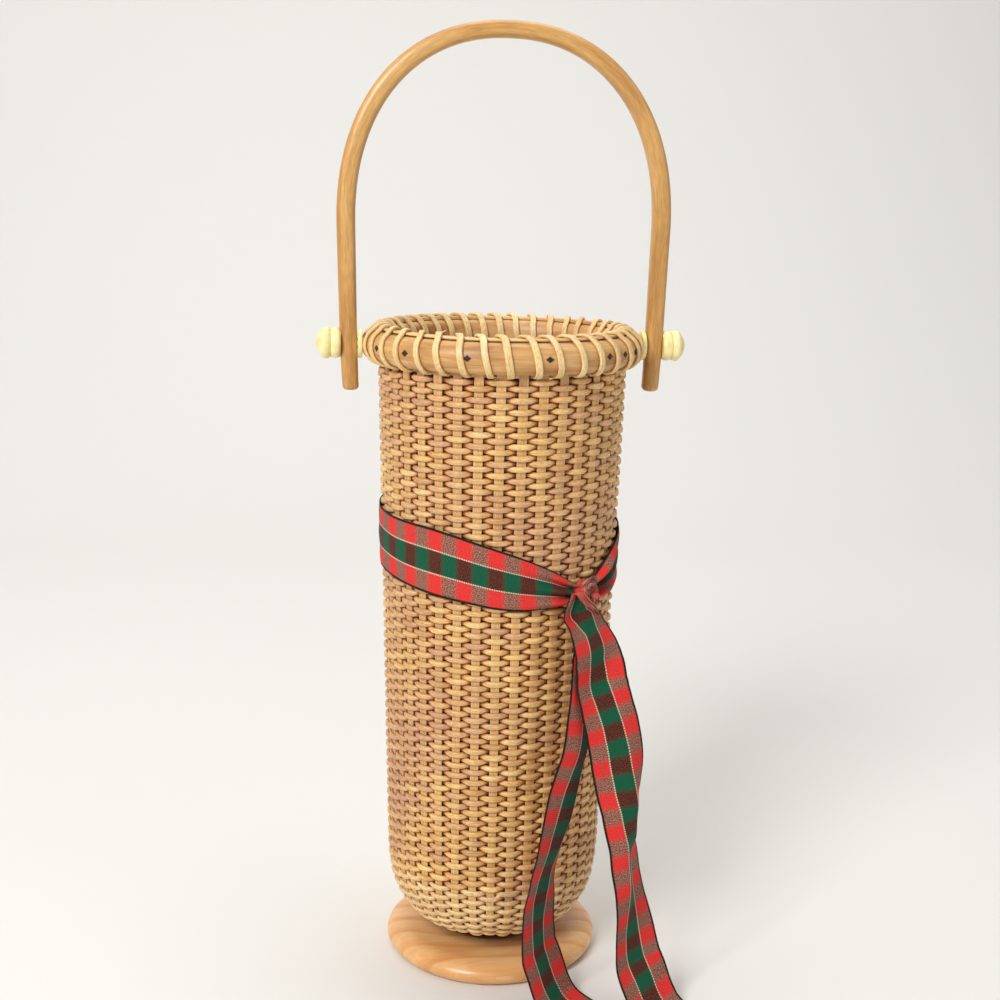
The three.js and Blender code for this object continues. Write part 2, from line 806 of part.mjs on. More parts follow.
// One ring of the band, which comes down and narrows towards the knot.
function bandRing(step) {
  const fromKnot = THREE.MathUtils.euclideanModulo(step / bandSteps + 0.5, 1) - 0.5;
  const away = Math.abs(fromKnot) / bandPullShare;
  const pull = away < 1 ? (1 - away) ** bandPullPower : 0;
  const gather = Math.exp(-((fromKnot / bandGatherShare) ** 2));
  const height = bandHeight - bandDrop * pull;
  const half = ribbonWidth / 2 * (1 - (1 - bandKnotShare) * gather);
  const turn = knotTurn - Math.PI / 2 + fromKnot * 2 * Math.PI;
  const out = around(1, turn, 0);
  const lean = (wallTopRadius - wallFootRadius) / (wallTopHeight - wallFootHeight);
  const up = out.clone().multiplyScalar(lean).add(new THREE.Vector3(0, 0, 1)).normalize();
  const centre = around(wallRadius(height) + ribbonLift, turn, height);
  return ribbonRing(centre, up, out, half, (share, pleat) => pleat * pleatDepth * gather);
}

function makeBand() {
  return loftRings(Array.from({ length: bandSteps }, (_, step) => bandRing(step)), true);
}

const knotRadius = wallRadius(knotPlace) + ribbonLift + ribbonThickness + pleatDepth
  + clear + knotThickness / 2;

function makeKnot() {
  const knot = new THREE.SphereGeometry(1, ...knotFacets);
  knot.scale(knotWidth / 2, knotThickness / 2, knotHeight / 2);
  knot.rotateZ(knotTurn);
  const centre = around(knotRadius, knotTurn - Math.PI / 2, knotPlace);
  return knot.translate(centre.x, centre.y, centre.z);
}

addPiece('ribbon_band', makeBand(), finishes.ribbon);
addPiece('ribbon_knot', makeKnot(), finishes.ribbon);

const tailTopHeight = knotPlace - knotHeight / 2 - clear;
const groundHeight = clear;

// The rows of a tail's table with smooth rows between them.
function smoothRows(rows) {
  const curves = [[0, 1, 2], [3, 4]].map((columns) => new THREE.CatmullRomCurve3(rows.map((row) => (
    new THREE.Vector3(...columns.map((column) => row[column]))
  ))));
  const steps = (rows.length - 1) * tailStepsPerRow;
  const [places, widths] = curves.map((curve) => curve.getPoints(steps));
  return places.map((place, step) => [
    Math.min(place.x, 1),
    place.y,
    place.z,
    widths[step].x,
    Math.min(widths[step].y, 1),
  ]);
}

// A tail from just under the knot. Its start is given as a distance out from the knot's middle.
function makeTail(tail, startOut) {
  const start = around(knotRadius + startOut, knotTurn - Math.PI / 2, tailTopHeight);
  const rows = smoothRows(tail.shares);
  const centres = rows.map(([drop, sway, reach]) => new THREE.Vector3(
    start.x + tail.sway * sway,
    start.y - tail.reach * reach,
    start.z + (groundHeight - start.z) * drop,
  ));
  const rings = centres.map((centre, row) => {
    const [drop, , , turnShare, widthShare] = rows[row];
    const before = centres[Math.max(row - 1, 0)];
    const after = centres[Math.min(row + 1, centres.length - 1)];
    const along = after.clone().sub(before).normalize();
    const wide = around(1, turnShare * Math.PI, 0);
    wide.addScaledVector(along, -wide.dot(along)).normalize();
    const normal = new THREE.Vector3().crossVectors(along, wide);
    const pleats = pleatDepth * Math.max(0, 1 - drop / tailPleatShare);
    const curl = tailCurl * Math.sin(Math.PI * drop);
    return ribbonRing(centre, wide, normal, ribbonWidth / 2 * widthShare, (share, pleat) => (
      pleat * pleats + curl * (1 - share ** 2)
    ));
  });
  return loftRings(rings);
}

const tailStack = ribbonThickness + pleatDepth; // how thick a pleated tail is at its start
addPiece('ribbon_tail_right', makeTail(rightTail, tailApart / 2), finishes.ribbon);
addPiece('ribbon_tail_left', makeTail(leftTail, -tailApart / 2 - tailStack), finishes.ribbon);

export default basket;
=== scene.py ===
"""A tall woven basket for one bottle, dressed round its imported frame.

Metres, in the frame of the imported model: +Z is up, the handle's pivots lie along X, and the ribbon's
knot faces front, towards -Y. Each sub-assembly is a class that models its own pieces and dresses them.
"""

import logging
import math
from collections.abc import Callable, Mapping, Sequence
from dataclasses import dataclass, field
from enum import Enum
from itertools import pairwise

import bmesh
import bpy
import numpy as np
from mathutils import Matrix, Vector


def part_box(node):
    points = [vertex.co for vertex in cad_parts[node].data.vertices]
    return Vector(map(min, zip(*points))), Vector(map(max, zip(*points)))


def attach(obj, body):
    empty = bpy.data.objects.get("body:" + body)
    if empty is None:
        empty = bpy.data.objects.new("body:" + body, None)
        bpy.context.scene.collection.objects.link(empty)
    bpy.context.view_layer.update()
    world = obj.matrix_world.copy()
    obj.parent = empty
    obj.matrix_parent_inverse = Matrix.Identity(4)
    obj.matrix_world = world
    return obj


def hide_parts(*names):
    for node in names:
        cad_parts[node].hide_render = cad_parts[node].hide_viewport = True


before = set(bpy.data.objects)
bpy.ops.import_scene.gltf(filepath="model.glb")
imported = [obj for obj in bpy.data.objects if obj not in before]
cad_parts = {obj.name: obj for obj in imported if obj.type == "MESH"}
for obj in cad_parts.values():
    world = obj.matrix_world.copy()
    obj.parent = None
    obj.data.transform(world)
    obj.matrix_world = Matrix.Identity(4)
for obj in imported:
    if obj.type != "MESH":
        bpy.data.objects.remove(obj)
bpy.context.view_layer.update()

LOG = logging.getLogger("basket")
MM = 0.001
MERGE = 1e-6
GRAIN = "grain"  # a vertex's place in the straight, unbent piece that it was cut from, in metres
SHADE_AND_PATINA = "shade_and_patina"  # 1 where a surface lies deep in the weave, darkened there by painted shade and by patina, 0 on faces that hands polish
STAVE_COUNT = 37
PITCH = math.tau / STAVE_COUNT  # angle from stave to stave
STRIP_DEPTH = 0.5 * MM  # thickness of a loose end of cane
STRIP_CORNER = 0.2 * MM

Array = np.ndarray
Triple = tuple[float, float, float]
Quad = tuple[float, float, float, float]
Outline = list[tuple[float, float]]
Links = Mapping[str | int, object]
Piece = bpy.types.Object
Material = bpy.types.Material
Tree = bpy.types.NodeTree
Socket = bpy.types.NodeSocket

# Inputs of a Map Range node, and settings of a Mix node that takes two colours.
RANGE = ("Value", "From Min", "From Max", "To Min", "To Max")
BLEND = {"data_type": "RGBA"}
MULTIPLY = {"data_type": "RGBA", "blend_type": "MULTIPLY"}


class Body(Enum):
    """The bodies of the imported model."""

    BASKET = "basket"
    HANDLE = "handle"


class Slot(Enum):
    """The record's material slots."""

    FOOT = "foot_wood"
    PLUG = "plug_wood"
    SCREW = "screw_steel"
    WEAVER = "weaver_cane"
    STAVE = "stave_cane"
    HOOP = "hoop_wood"
    LASHING = "lashing_cane"
    HANDLE = "handle_wood"
    BONE = "bone"
    RIBBON = "tartan_ribbon"


# Materials


def linear(colour: str) -> Quad:
    """Turns an sRGB hex colour into linear RGBA.

    Args:
        colour: Six hex digits after a hash sign.

    Returns:
        Red, green, blue and an alpha of 1.
    """
    channels = [int(colour[place : place + 2], 16) / 255 for place in (1, 3, 5)]
    red, green, blue = (c / 12.92 if c <= 0.04045 else ((c + 0.055) / 1.055) ** 2.4 for c in channels)
    return (red, green, blue, 1.0)


def fill_inputs(tree: Tree, node: bpy.types.Node, links: Links) -> None:
    """Fills the inputs of a node.

    Args:
        tree: The node tree.
        node: The node.
        links: Values for the inputs. A socket is linked, and anything else is set.
    """
    for socket, value in links.items():
        if isinstance(value, Socket):
            tree.links.new(value, node.inputs[socket])
        else:
            node.inputs[socket].default_value = value


def add_node(
    tree: Tree,
    kind: str,
    links: Links | None = None,
    stops: Sequence[tuple[float, str]] = (),
    **settings: object,
) -> bpy.types.Node:
    """Adds a node with its settings and links.

    Args:
        tree: The node tree that gets the node.
        kind: The node's type, without its ShaderNode prefix.
        links: Values for the inputs. A socket is linked, and anything else is set.
        stops: Places and sRGB colours of a colour ramp, from first to last.
        settings: Properties of the node.

    Returns:
        The new node.
    """
    node = tree.nodes.new(f"ShaderNode{kind}")
    for name, value in settings.items():
        setattr(node, name, value)
    fill_inputs(tree, node, links or {})
    if stops:
        elements = node.color_ramp.elements
        for element, (place, colour) in zip(elements, (stops[0], stops[-1])):
            element.position = place
            element.color = linear(colour)
        for place, colour in stops[1:-1]:
            elements.new(place).color = linear(colour)
    return node


def fibre_noise(
    tree: Tree, place: Socket, sizes: Triple, detail: float = 3.0, distortion: float = 0.0
) -> Socket:
    """Adds noise whose blots have a real size along each axis of the place that it reads.

    Args:
        tree: The node tree.
        place: The coordinates, in metres.
        sizes: Size of a blot along X, Y and Z, in metres.
        detail: Octaves of finer noise.
        distortion: How far the noise is pushed about.

    Returns:
        The noise, from 0 to 1.
    """
    scale = tuple(1 / size for size in sizes)
    mapping = add_node(tree, "Mapping", {"Vector": place, "Scale": scale})
    links = {"Vector": mapping.outputs[0], "Scale": 1.0, "Detail": detail, "Distortion": distortion}
    return add_node(tree, "TexNoise", links).outputs[0]


class Finish:
    """A surface's finish. Subclasses are frozen dataclasses that paint one real material."""

    name: str

    def make(self) -> Material:
        """Makes the material.

        Returns:
            The material.
        """
        material = bpy.data.materials.new(self.name)
        material.use_nodes = True
        tree = material.node_tree
        fill_inputs(tree, tree.nodes["Principled BSDF"], self.paint(tree))
        return material

    def paint(self, tree: Tree) -> Links:
        """Adds the material's own nodes.

        Args:
            tree: The material's node tree.

        Returns:
            Values for the inputs of its Principled shader.
        """
        raise NotImplementedError


@dataclass(frozen=True)
class Cane(Finish):
    """Natural split cane, varnished thinly after weaving: straw coloured, with fine fibres along it.

    Pieces of different age give it patches from pale straw to pinkish tan. Painted shade, with old varnish
    and dust, darkens it deep in the weave.
    """

    name: str
    pale: str
    middle: str
    deep: str
    blush: str
    shade: str = "#CC9C80"  # painted shade with old varnish: what is left of the colour half-way down into the weave
    crevice: str = "#3C1E14"  # and what painted shade and old varnish leave of it deep in the weave
    patch_length: float = 30 * MM
    blush_length_share: float = 1.7  # length of a blushed patch, of a plain one's
    patch_blush: float = 0.75
    zone_size: float = 55 * MM  # broad areas woven from one bundle of cane
    zone_blush: float = 0.55
    fibre_length: float = 9 * MM
    fibre_width: float = 0.35 * MM
    fleck_length: float = 1.3 * MM  # pores and short fibres, drawn a little coarse so that they show
    fleck_width: float = 0.45 * MM
    roughness: float = 0.46
    varnish: float = 0.15
    bump_depth: float = 0.08 * MM
    uses_shade_and_patina: bool = True

    def paint(self, tree: Tree) -> Links:
        """Paints patches along the cane, fibres on it, and painted shade with patina deep in the weave.

        Args:
            tree: The material's node tree.

        Returns:
            Values for the inputs of its shader.
        """
        place = add_node(tree, "Attribute", attribute_name=GRAIN).outputs["Vector"]
        whole = add_node(tree, "TexCoord").outputs["Object"]
        wide = 40 * self.patch_length  # the same tone right through the strip
        patch = fibre_noise(tree, place, (wide, wide, self.patch_length), 2.0)
        blushed = fibre_noise(tree, place, (wide, wide, self.blush_length_share * self.patch_length), 1.0)
        zone = fibre_noise(tree, whole, (self.zone_size,) * 3, 2.0)
        fibre = fibre_noise(tree, place, (self.fibre_width, self.fibre_width, self.fibre_length), 2.0)
        fleck = fibre_noise(tree, place, (self.fleck_width, self.fleck_width, self.fleck_length), 3.0)
        stops = ((0.3, self.deep), (0.48, self.middle), (0.68, self.pale))
        colour = add_node(tree, "ValToRGB", {"Fac": patch}, stops).outputs[0]
        ranges = (
            (blushed, 0.5, 0.68, 0.0, self.patch_blush),
            (zone, 0.42, 0.62, 0.0, self.zone_blush),
            (fibre, 0.3, 0.7, 0.8, 1.1),
            (fleck, 0.32, 0.66, 0.76, 1.12),
        )
        *blushes, streak, speck = (
            add_node(tree, "MapRange", dict(zip(RANGE, values))).outputs[0] for values in ranges
        )
        for share in blushes:
            colour = add_node(tree, "Mix", {0: share, 6: colour, 7: linear(self.blush)}, **BLEND).outputs[2]
        shades = [streak, speck]
        if self.uses_shade_and_patina:
            # Painted shade with patina: the deeper the surface lies in the weave, the darker it is painted.
            shade_and_patina = add_node(tree, "Attribute", attribute_name=SHADE_AND_PATINA).outputs["Fac"]
            stops = ((0.0, "#FFFFFF"), (0.45, self.shade), (1.0, self.crevice))
            shades.append(add_node(tree, "ValToRGB", {"Fac": shade_and_patina}, stops).outputs[0])
        for shade in shades:
            colour = add_node(tree, "Mix", {0: 1.0, 6: colour, 7: shade}, **MULTIPLY).outputs[2]
        bump = add_node(tree, "Bump", {"Height": fibre, "Distance": self.bump_depth, "Strength": 0.6})
        return {
            "Base Color": colour,
            "Normal": bump.outputs[0],
            "Roughness": self.roughness,
            "Coat Weight": self.varnish,
            "Coat Roughness": 0.3,
        }


@dataclass(frozen=True)
class Timber(Finish):
    """Planed or turned wood under a clear lacquer: long fibres, broad bands of growth and a soft gloss."""

    name: str
    pale: str
    middle: str
    dark: str
    fibre: Triple
    band: Triple
    reads_object: bool = False
    roughness: float = 0.4
    gloss: float = 0.3
    fibre_contrast: float = 0.16
    bump_depth: float = 0.03 * MM
    warp: float = 0.6
    ring_width: float = 0.0  # from one dark growth line to the next, or 0 where none shows
    ring_shade: str = "#F4DEC6"  # what a growth line leaves of the colour
    ring_squeeze: float = 0.36  # of the rings along X, which draws them out that way
    ring_middle: tuple[float, float] = (26 * MM, 24 * MM)

    def paint(self, tree: Tree) -> Links:
        """Paints bands of growth and the fibres over them.

        Args:
            tree: The material's node tree.

        Returns:
            Values for the inputs of its shader.
        """
        if self.reads_object:
            place = add_node(tree, "TexCoord").outputs["Object"]
        else:
            place = add_node(tree, "Attribute", attribute_name=GRAIN).outputs["Vector"]
        band = fibre_noise(tree, place, self.band, 3.0, self.warp)
        fibre = fibre_noise(tree, place, self.fibre, 3.0)
        stops = ((0.3, self.dark), (0.5, self.middle), (0.7, self.pale))
        colour = add_node(tree, "ValToRGB", {"Fac": band}, stops).outputs[0]
        values = (fibre, 0.3, 0.7, 1 - self.fibre_contrast, 1 + self.fibre_contrast / 2)
        shades = [add_node(tree, "MapRange", dict(zip(RANGE, values))).outputs[0]]
        if self.ring_width:
            shades.append(self.growth_lines(tree, place))
        for shade in shades:
            colour = add_node(tree, "Mix", {0: 1.0, 6: colour, 7: shade}, **MULTIPLY).outputs[2]
        bump = add_node(tree, "Bump", {"Height": fibre, "Distance": self.bump_depth, "Strength": 0.5})
        return {
            "Base Color": colour,
            "Normal": bump.outputs[0],
            "Roughness": self.roughness,
            "Coat Weight": self.gloss,
            "Coat Roughness": 0.18,
        }

    def growth_lines(self, tree: Tree, place: Socket) -> Socket:
        """Draws growth lines that are soft on one side and sharp on the other.

        Args:
            tree: The material's node tree.
            place: The coordinates, in metres.

        Returns:
            What the lines leave of the colour.
        """
        x, y = self.ring_middle
        squeeze = self.ring_squeeze
        links = {"Vector": place, "Scale": (squeeze, 1, 1), "Location": (-x * squeeze, -y, 0)}
        about = add_node(tree, "Mapping", links).outputs[0]
        period = math.tau / 20  # of Blender's wave texture at a scale of 1
        links = {
            "Vector": about,
            "Scale": period / self.ring_width,
            "Distortion": 5.0,
            "Detail": 2.0,
            "Detail Scale": 0.6,
            "Detail Roughness": 0.5,
        }
        ring = add_node(tree, "TexWave", links, wave_type="RINGS", rings_direction="Z", wave_profile="SAW")
        stops = ((0.0, "#FFFFFF"), (0.5, "#FFF8F0"), (0.88, self.ring_shade), (1.0, "#FAECDC"))
        return add_node(tree, "ValToRGB", {"Fac": ring.outputs["Fac"]}, stops).outputs[0]


@dataclass(frozen=True)
class Bone(Finish):
    """Turned and polished cream bone: slightly milky, with faint clouds."""

    name: str = "polished_bone"
    pale: str = "#F8F0B4"
    deep: str = "#EEDD94"
    cloud_size: float = 4 * MM
    roughness: float = 0.28
    milkiness: float = 0.15
    milk_depth: float = 1.5 * MM  # how far light goes in
    polish: float = 0.4

    def paint(self, tree: Tree) -> Links:
        """Paints faint clouds and lets a little light into the surface.

        Args:
            tree: The material's node tree.

        Returns:
            Values for the inputs of its shader.
        """
        place = add_node(tree, "TexCoord").outputs["Object"]
        cloud = fibre_noise(tree, place, (self.cloud_size,) * 3, 3.0)
        colour = add_node(tree, "ValToRGB", {"Fac": cloud}, ((0.35, self.deep), (0.65, self.pale)))
        return {
            "Base Color": colour.outputs[0],
            "Roughness": self.roughness,
            "Subsurface Weight": self.milkiness,
            "Subsurface Scale": self.milk_depth,
            "Coat Weight": self.polish,
            "Coat Roughness": 0.1,
        }


@dataclass(frozen=True)
class Steel(Finish):
    """Plain or blackened steel, as on a screw or a small nail: dull, with worn spots."""

    name: str
    colour: str
    worn: str
    roughness: float = 0.45
    metallic: float = 1.0
    spot_size: float = 0.6 * MM

    def paint(self, tree: Tree) -> Links:
        """Paints worn spots on the metal.

        Args:
            tree: The material's node tree.

        Returns:
            Values for the inputs of its shader.
        """
        place = add_node(tree, "TexCoord").outputs["Object"]
        spot = fibre_noise(tree, place, (self.spot_size,) * 3, 2.0)
        colour = add_node(tree, "ValToRGB", {"Fac": spot}, ((0.45, self.colour), (0.7, self.worn)))
        return {"Base Color": colour.outputs[0], "Roughness": self.roughness, "Metallic": self.metallic}


@dataclass(frozen=True)
class CheckRibbon(Finish):
    """Woven check ribbon: two red rows and a green one along it, crossed by red and by green yarn in turn.

    Red yarn across a red row stays red and makes the green row brown. Green yarn keeps the green row green
    and makes a red row heather. A dashed cream thread runs between the rows, and the two edges are dark.
    """

    name: str = "check_ribbon"
    width: float = 25.4 * MM
    edge_width: float = 0.9 * MM
    row_width: float = 7.3 * MM  # of a red row
    thread_width: float = 0.5 * MM
    stitch_length: float = 0.9 * MM
    check_length: float = 12.2 * MM
    soft_edge: float = 2.9 * MM
    soft_row: float = 1.3 * MM
    speckle_size: float = 0.42 * MM  # two threads: a single one is too fine to show
    red: str = "#DA3430"
    heather: tuple[str, str] = ("#6A3A2E", "#B4806C")  # its dark and its light threads
    green: str = "#0C553A"
    brown: tuple[str, str] = ("#381A10", "#6E3626")
    cream: str = "#D8C9AE"
    edge: str = "#1C170E"
    roughness: float = 0.8
    shine: float = 0.2  # of the yarns, against a plain surface's 0.5
    sheen: float = 0.04
    bump_depth: float = 0.05 * MM

    def paint(self, tree: Tree) -> Links:
        """Paints rows across the ribbon, checks along it, threads, edges and the speckle of the yarns.

        Args:
            tree: The material's node tree.

        Returns:
            Values for the inputs of its shader.
        """
        place = add_node(tree, "Attribute", attribute_name=GRAIN).outputs["Vector"]
        axes = add_node(tree, "SeparateXYZ", {0: place}).outputs
        size = self.speckle_size
        speckle = fibre_noise(tree, place, (size, size, size), 1.0)
        thread = fibre_noise(tree, place, (0.8 * size, size, 1.1 * size), 2.0)
        across = add_node(tree, "Math", {0: axes[0]}, operation="ABSOLUTE").outputs[0]
        check, stitch = (
            add_node(tree, "Math", {0: axes[2], 1: length / 2}, operation="PINGPONG").outputs[0]
            for length in (self.check_length, self.stitch_length)
        )
        half = self.width / 2
        line = half - self.edge_width - self.row_width  # where a cream thread runs
        offset = add_node(tree, "Math", {0: across, 1: line}, operation="SUBTRACT").outputs[0]
        near = add_node(tree, "Math", {0: offset}, operation="ABSOLUTE").outputs[0]
        rises = (  # each from 0 to 1 where a value passes a level, within a soft width
            (across, line, self.soft_row),
            (across, half - self.edge_width, self.thread_width),
            (check, self.check_length / 4, self.soft_edge),
            (thread, 0.52, 0.16),
            (near, self.thread_width / 2, -self.thread_width / 2),  # from 1 to 0
            (stitch, self.stitch_length / 6, self.stitch_length / 6),
        )
        in_red, in_edge, on_red, on_light, on_line, on_stitch = (
            add_node(
                tree,
                "MapRange",
                {"Value": value, "From Min": level - soft / 2, "From Max": level + soft / 2},
                interpolation_type="SMOOTHSTEP",
            ).outputs[0]
            for value, level, soft in rises
        )
        heather, brown = (
            add_node(tree, "Mix", {0: on_light, 6: linear(dark), 7: linear(light)}, **BLEND).outputs[2]
            for dark, light in (self.heather, self.brown)
        )
        links = {0: in_red, 6: linear(self.green), 7: heather}
        under_green = add_node(tree, "Mix", links, **BLEND).outputs[2]
        under_red = add_node(tree, "Mix", {0: in_red, 6: brown, 7: linear(self.red)}, **BLEND).outputs[2]
        colour = add_node(tree, "Mix", {0: on_red, 6: under_green, 7: under_red}, **BLEND).outputs[2]
        values = (speckle, 0.35, 0.65, 0.76, 1.2)
        speck = add_node(tree, "MapRange", dict(zip(RANGE, values))).outputs[0]
        colour = add_node(tree, "Mix", {0: 1.0, 6: colour, 7: speck}, **MULTIPLY).outputs[2]
        on_thread = add_node(tree, "Math", {0: on_line, 1: on_stitch}, operation="MULTIPLY").outputs[0]
        for share, yarn in ((on_thread, self.cream), (in_edge, self.edge)):
            colour = add_node(tree, "Mix", {0: share, 6: colour, 7: linear(yarn)}, **BLEND).outputs[2]
        bump = add_node(tree, "Bump", {"Height": speckle, "Distance": self.bump_depth, "Strength": 0.5})
        return {
            "Base Color": colour,
            "Normal": bump.outputs[0],
            "Roughness": self.roughness,
            "Specular IOR Level": self.shine,
            "Sheen Weight": self.sheen,
        }


@dataclass(frozen=True)
class Paper(Finish):
    """Seamless studio paper: matt and pale."""

    name: str = "studio_paper"
    colour: str = "#E4E2DE"

    def paint(self, tree: Tree) -> Links:
        """Paints the paper one colour."""
        return {"Base Color": linear(self.colour), "Roughness": 0.9}


@dataclass(frozen=True)
class Finishes:
    """The materials of the whole basket, each made once."""

    weaver: Material
    start: Material
    stave: Material
    lashing: Material
    hoop: Material
    cap: Material
    foot: Material
    plug: Material
    handle: Material
    bone: Material
    screw: Material
    nail: Material
    ribbon: Material

    @staticmethod
    def prepare() -> "Finishes":
        """Makes every material.

        Returns:
            The materials.
        """
        finishes: dict[str, Finish] = {
            "weaver": Cane(
                "split_cane_weaver", "#FAD48C", "#E8B872", "#C89254", "#CC9678", patch_length=26 * MM
            ),
            "start": Cane("thin_cane_start", "#FADCA2", "#F0CB8E", "#DBAE72", "#E0B88E", zone_blush=0.2),
            "stave": Cane(
                "flat_cane_stave", "#FBDD98", "#F3CD84", "#DFB26E", "#DDB080", patch_length=60 * MM
            ),
            "lashing": Cane(
                "flat_cane_lashing", "#F6D79C", "#EEC98A", "#DFB172", "#E6BC88",
                zone_blush=0.0, uses_shade_and_patina=False,
            ),
            "hoop": Timber(
                "split_wood_hoop", "#E0B679", "#CC9A5D", "#AE7740",
                fibre=(0.5 * MM, 0.35 * MM, 12 * MM), band=(6 * MM, 4.5 * MM, 24 * MM),
                roughness=0.5, gloss=0.15, fibre_contrast=0.2,
            ),
            "cap": Timber(
                "split_wood_cap", "#F2D092", "#E2B878", "#C0884E",
                fibre=(0.5 * MM, 0.35 * MM, 16 * MM), band=(6 * MM, 4.5 * MM, 30 * MM),
                roughness=0.5, gloss=0.15,
            ),
            "foot": Timber(
                "turned_maple_foot", "#F2CA92", "#EBB97E", "#E0A76A",
                fibre=(26 * MM, 1.1 * MM, 1.1 * MM), band=(70 * MM, 18 * MM, 26 * MM), reads_object=True,
                roughness=0.38, gloss=0.25, fibre_contrast=0.1, warp=1.0, ring_width=8.5 * MM,
            ),
            # The plug's dark brown is partly the wood's own tone and partly painted shade under the weave's
            # bottom edge.
            "plug": Timber(
                "dark_base_plug_painted_shade", "#8E5C34", "#744626", "#58341C",
                fibre=(25 * MM, 1.2 * MM, 1.2 * MM), band=(40 * MM, 14 * MM, 14 * MM), reads_object=True,
            ),
            "handle": Timber(
                "bent_wood_handle", "#DCAC6A", "#CE9A56", "#B68042",
                fibre=(0.55 * MM, 0.55 * MM, 5 * MM), band=(5 * MM, 7 * MM, 45 * MM),
                roughness=0.42, gloss=0.22, fibre_contrast=0.2,
            ),
            "bone": Bone(),
            "screw": Steel("plain_steel_screw", "#A8A8A4", "#C9C9C5"),
            "nail": Steel("blackened_nail", "#2A1C12", "#5A4330", roughness=0.6, metallic=0.3),
            "ribbon": CheckRibbon(),
        }
        return Finishes(**{use: finish.make() for use, finish in finishes.items()})


# Modelling helpers


def deselect() -> None:
    """Leaves edit mode and deselects everything."""
    if bpy.context.object and bpy.context.object.mode != "OBJECT":
        bpy.ops.object.mode_set(mode="OBJECT")
    bpy.ops.object.select_all(action="DESELECT")


def name_piece(name: str) -> Piece:
    """Names the active object and its mesh.

    Args:
        name: The piece's name.

    Returns:
        The active object.
    """
    piece = bpy.context.object
    piece.name = name
    piece.data.name = name
    return piece


def make_active(piece: Piece) -> None:
    """Selects one piece and nothing else.

    Args:
        piece: The piece.
    """
    deselect()
    piece.select_set(True)
    bpy.context.view_layer.objects.active = piece


def apply_place(piece: Piece) -> None:
    """Puts a piece's place, turn and size into its mesh."""
    make_active(piece)
    bpy.ops.object.transform_apply(location=True, rotation=True, scale=True)


def finish_modifier(piece: Piece, kind: str, **settings: object) -> None:
    """Adds a modifier to a piece and applies it.

    Args:
        piece: The piece.
        kind: The modifier's type.
        settings: Its properties.
    """
    make_active(piece)
    bpy.ops.object.modifier_add(type=kind)
    modifier = piece.modifiers[-1]
    for name, value in settings.items():
        setattr(modifier, name, value)
    bpy.ops.object.modifier_apply(modifier=modifier.name)


def face_outwards(piece: Piece) -> None:
    """Points all of a piece's faces outwards, and leaves edit mode.

    Args:
        piece: The piece.
    """
    make_active(piece)
    bpy.ops.object.mode_set(mode="EDIT")
    bpy.ops.mesh.select_all(action="SELECT")
    bpy.ops.mesh.normals_make_consistent(inside=False)
    bpy.ops.object.mode_set(mode="OBJECT")


def smooth(piece: Piece, degrees: float = 40.0) -> None:
    """Shades a piece smooth, apart from edges sharper than an angle."""
    make_active(piece)
    bpy.ops.object.shade_smooth_by_angle(angle=math.radians(degrees))


def dress(piece: Piece, material: Material, slot: Slot, *nodes: str, body: Body = Body.BASKET) -> Piece:
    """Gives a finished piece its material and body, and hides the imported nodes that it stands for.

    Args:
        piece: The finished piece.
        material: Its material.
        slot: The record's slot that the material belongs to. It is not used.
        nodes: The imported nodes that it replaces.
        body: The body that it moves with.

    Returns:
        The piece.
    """
    piece.data.materials.clear()
    piece.data.materials.append(material)
    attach(piece, body.value)
    if nodes:
        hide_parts(*nodes)
    LOG.info("%s: %d faces", piece.name, len(piece.data.polygons))
    return piece


def lay_attribute(piece: Piece, name: str, values: Array) -> None:
    """Stores a value or a vector on each vertex.

    Args:
        piece: The piece.
        name: The attribute's name.
        values: One row for each vertex.
    """
    kind, key = ("FLOAT_VECTOR", "vector") if values.ndim == 2 else ("FLOAT", "value")
    attributes = piece.data.attributes
    layer = attributes.get(name) or attributes.new(name, kind, "POINT")
    layer.data.foreach_set(key, np.ascontiguousarray(values, np.float32).ravel())


def vertices_of(piece: Piece) -> Array:
    """Gives the places of a piece's vertices.

    Args:
        piece: The piece.

    Returns:
        One row for each vertex.
    """
    places = np.empty(len(piece.data.vertices) * 3, np.float32)
    piece.data.vertices.foreach_get("co", places)
    return places.reshape(-1, 3).astype(float)


def move_vertices(piece: Piece, places: Array) -> None:
    """Moves a piece's vertices to new places."""
    piece.data.vertices.foreach_set("co", np.ascontiguousarray(places, np.float32).ravel())
    piece.data.update()


def unit(vectors: Array) -> Array:
    """Gives each row of vectors a length of 1."""
    return vectors / np.linalg.norm(vectors, axis=1)[:, None]


def runs_along(places: Array) -> Array:
    """Gives how far each place lies along the line through all of them."""
    return np.concatenate([[0.0], np.cumsum(np.linalg.norm(np.diff(places, axis=0), axis=1))])


def ease(share: Array) -> Array:
    """Softens both ends of a rise from 0 to 1."""
    return share * share * (3 - 2 * share)


def arc(
    centre: tuple[float, float], reach: float, rise: float, start: float, end: float, steps: int
) -> Outline:
    """Gives points of an ellipse about a centre of radius and height, between two angles in degrees."""
    turns = [math.radians(start + (end - start) * step / steps) for step in range(steps + 1)]
    return [(centre[0] + reach * math.cos(turn), centre[1] + rise * math.sin(turn)) for turn in turns]


def draw_line(name: str, points: Sequence[Triple]) -> Piece:
    """Draws a line by extruding one vertex from point to point, and stays in edit mode.

    Args:
        name: The piece's name.
        points: The line's points.

    Returns:
        The piece, with the whole line selected.
    """
    deselect()
    bpy.ops.mesh.primitive_plane_add(size=MM)
    piece = name_piece(name)
    bpy.ops.object.mode_set(mode="EDIT")
    bpy.ops.mesh.merge(type="CENTER")
    bpy.ops.transform.translate(value=points[0])
    for point, following in pairwise(points):
        move = tuple(after - before for before, after in zip(point, following))
        bpy.ops.mesh.extrude_region_move(TRANSFORM_OT_translate={"value": move})
    bpy.ops.mesh.select_all(action="SELECT")
    return piece


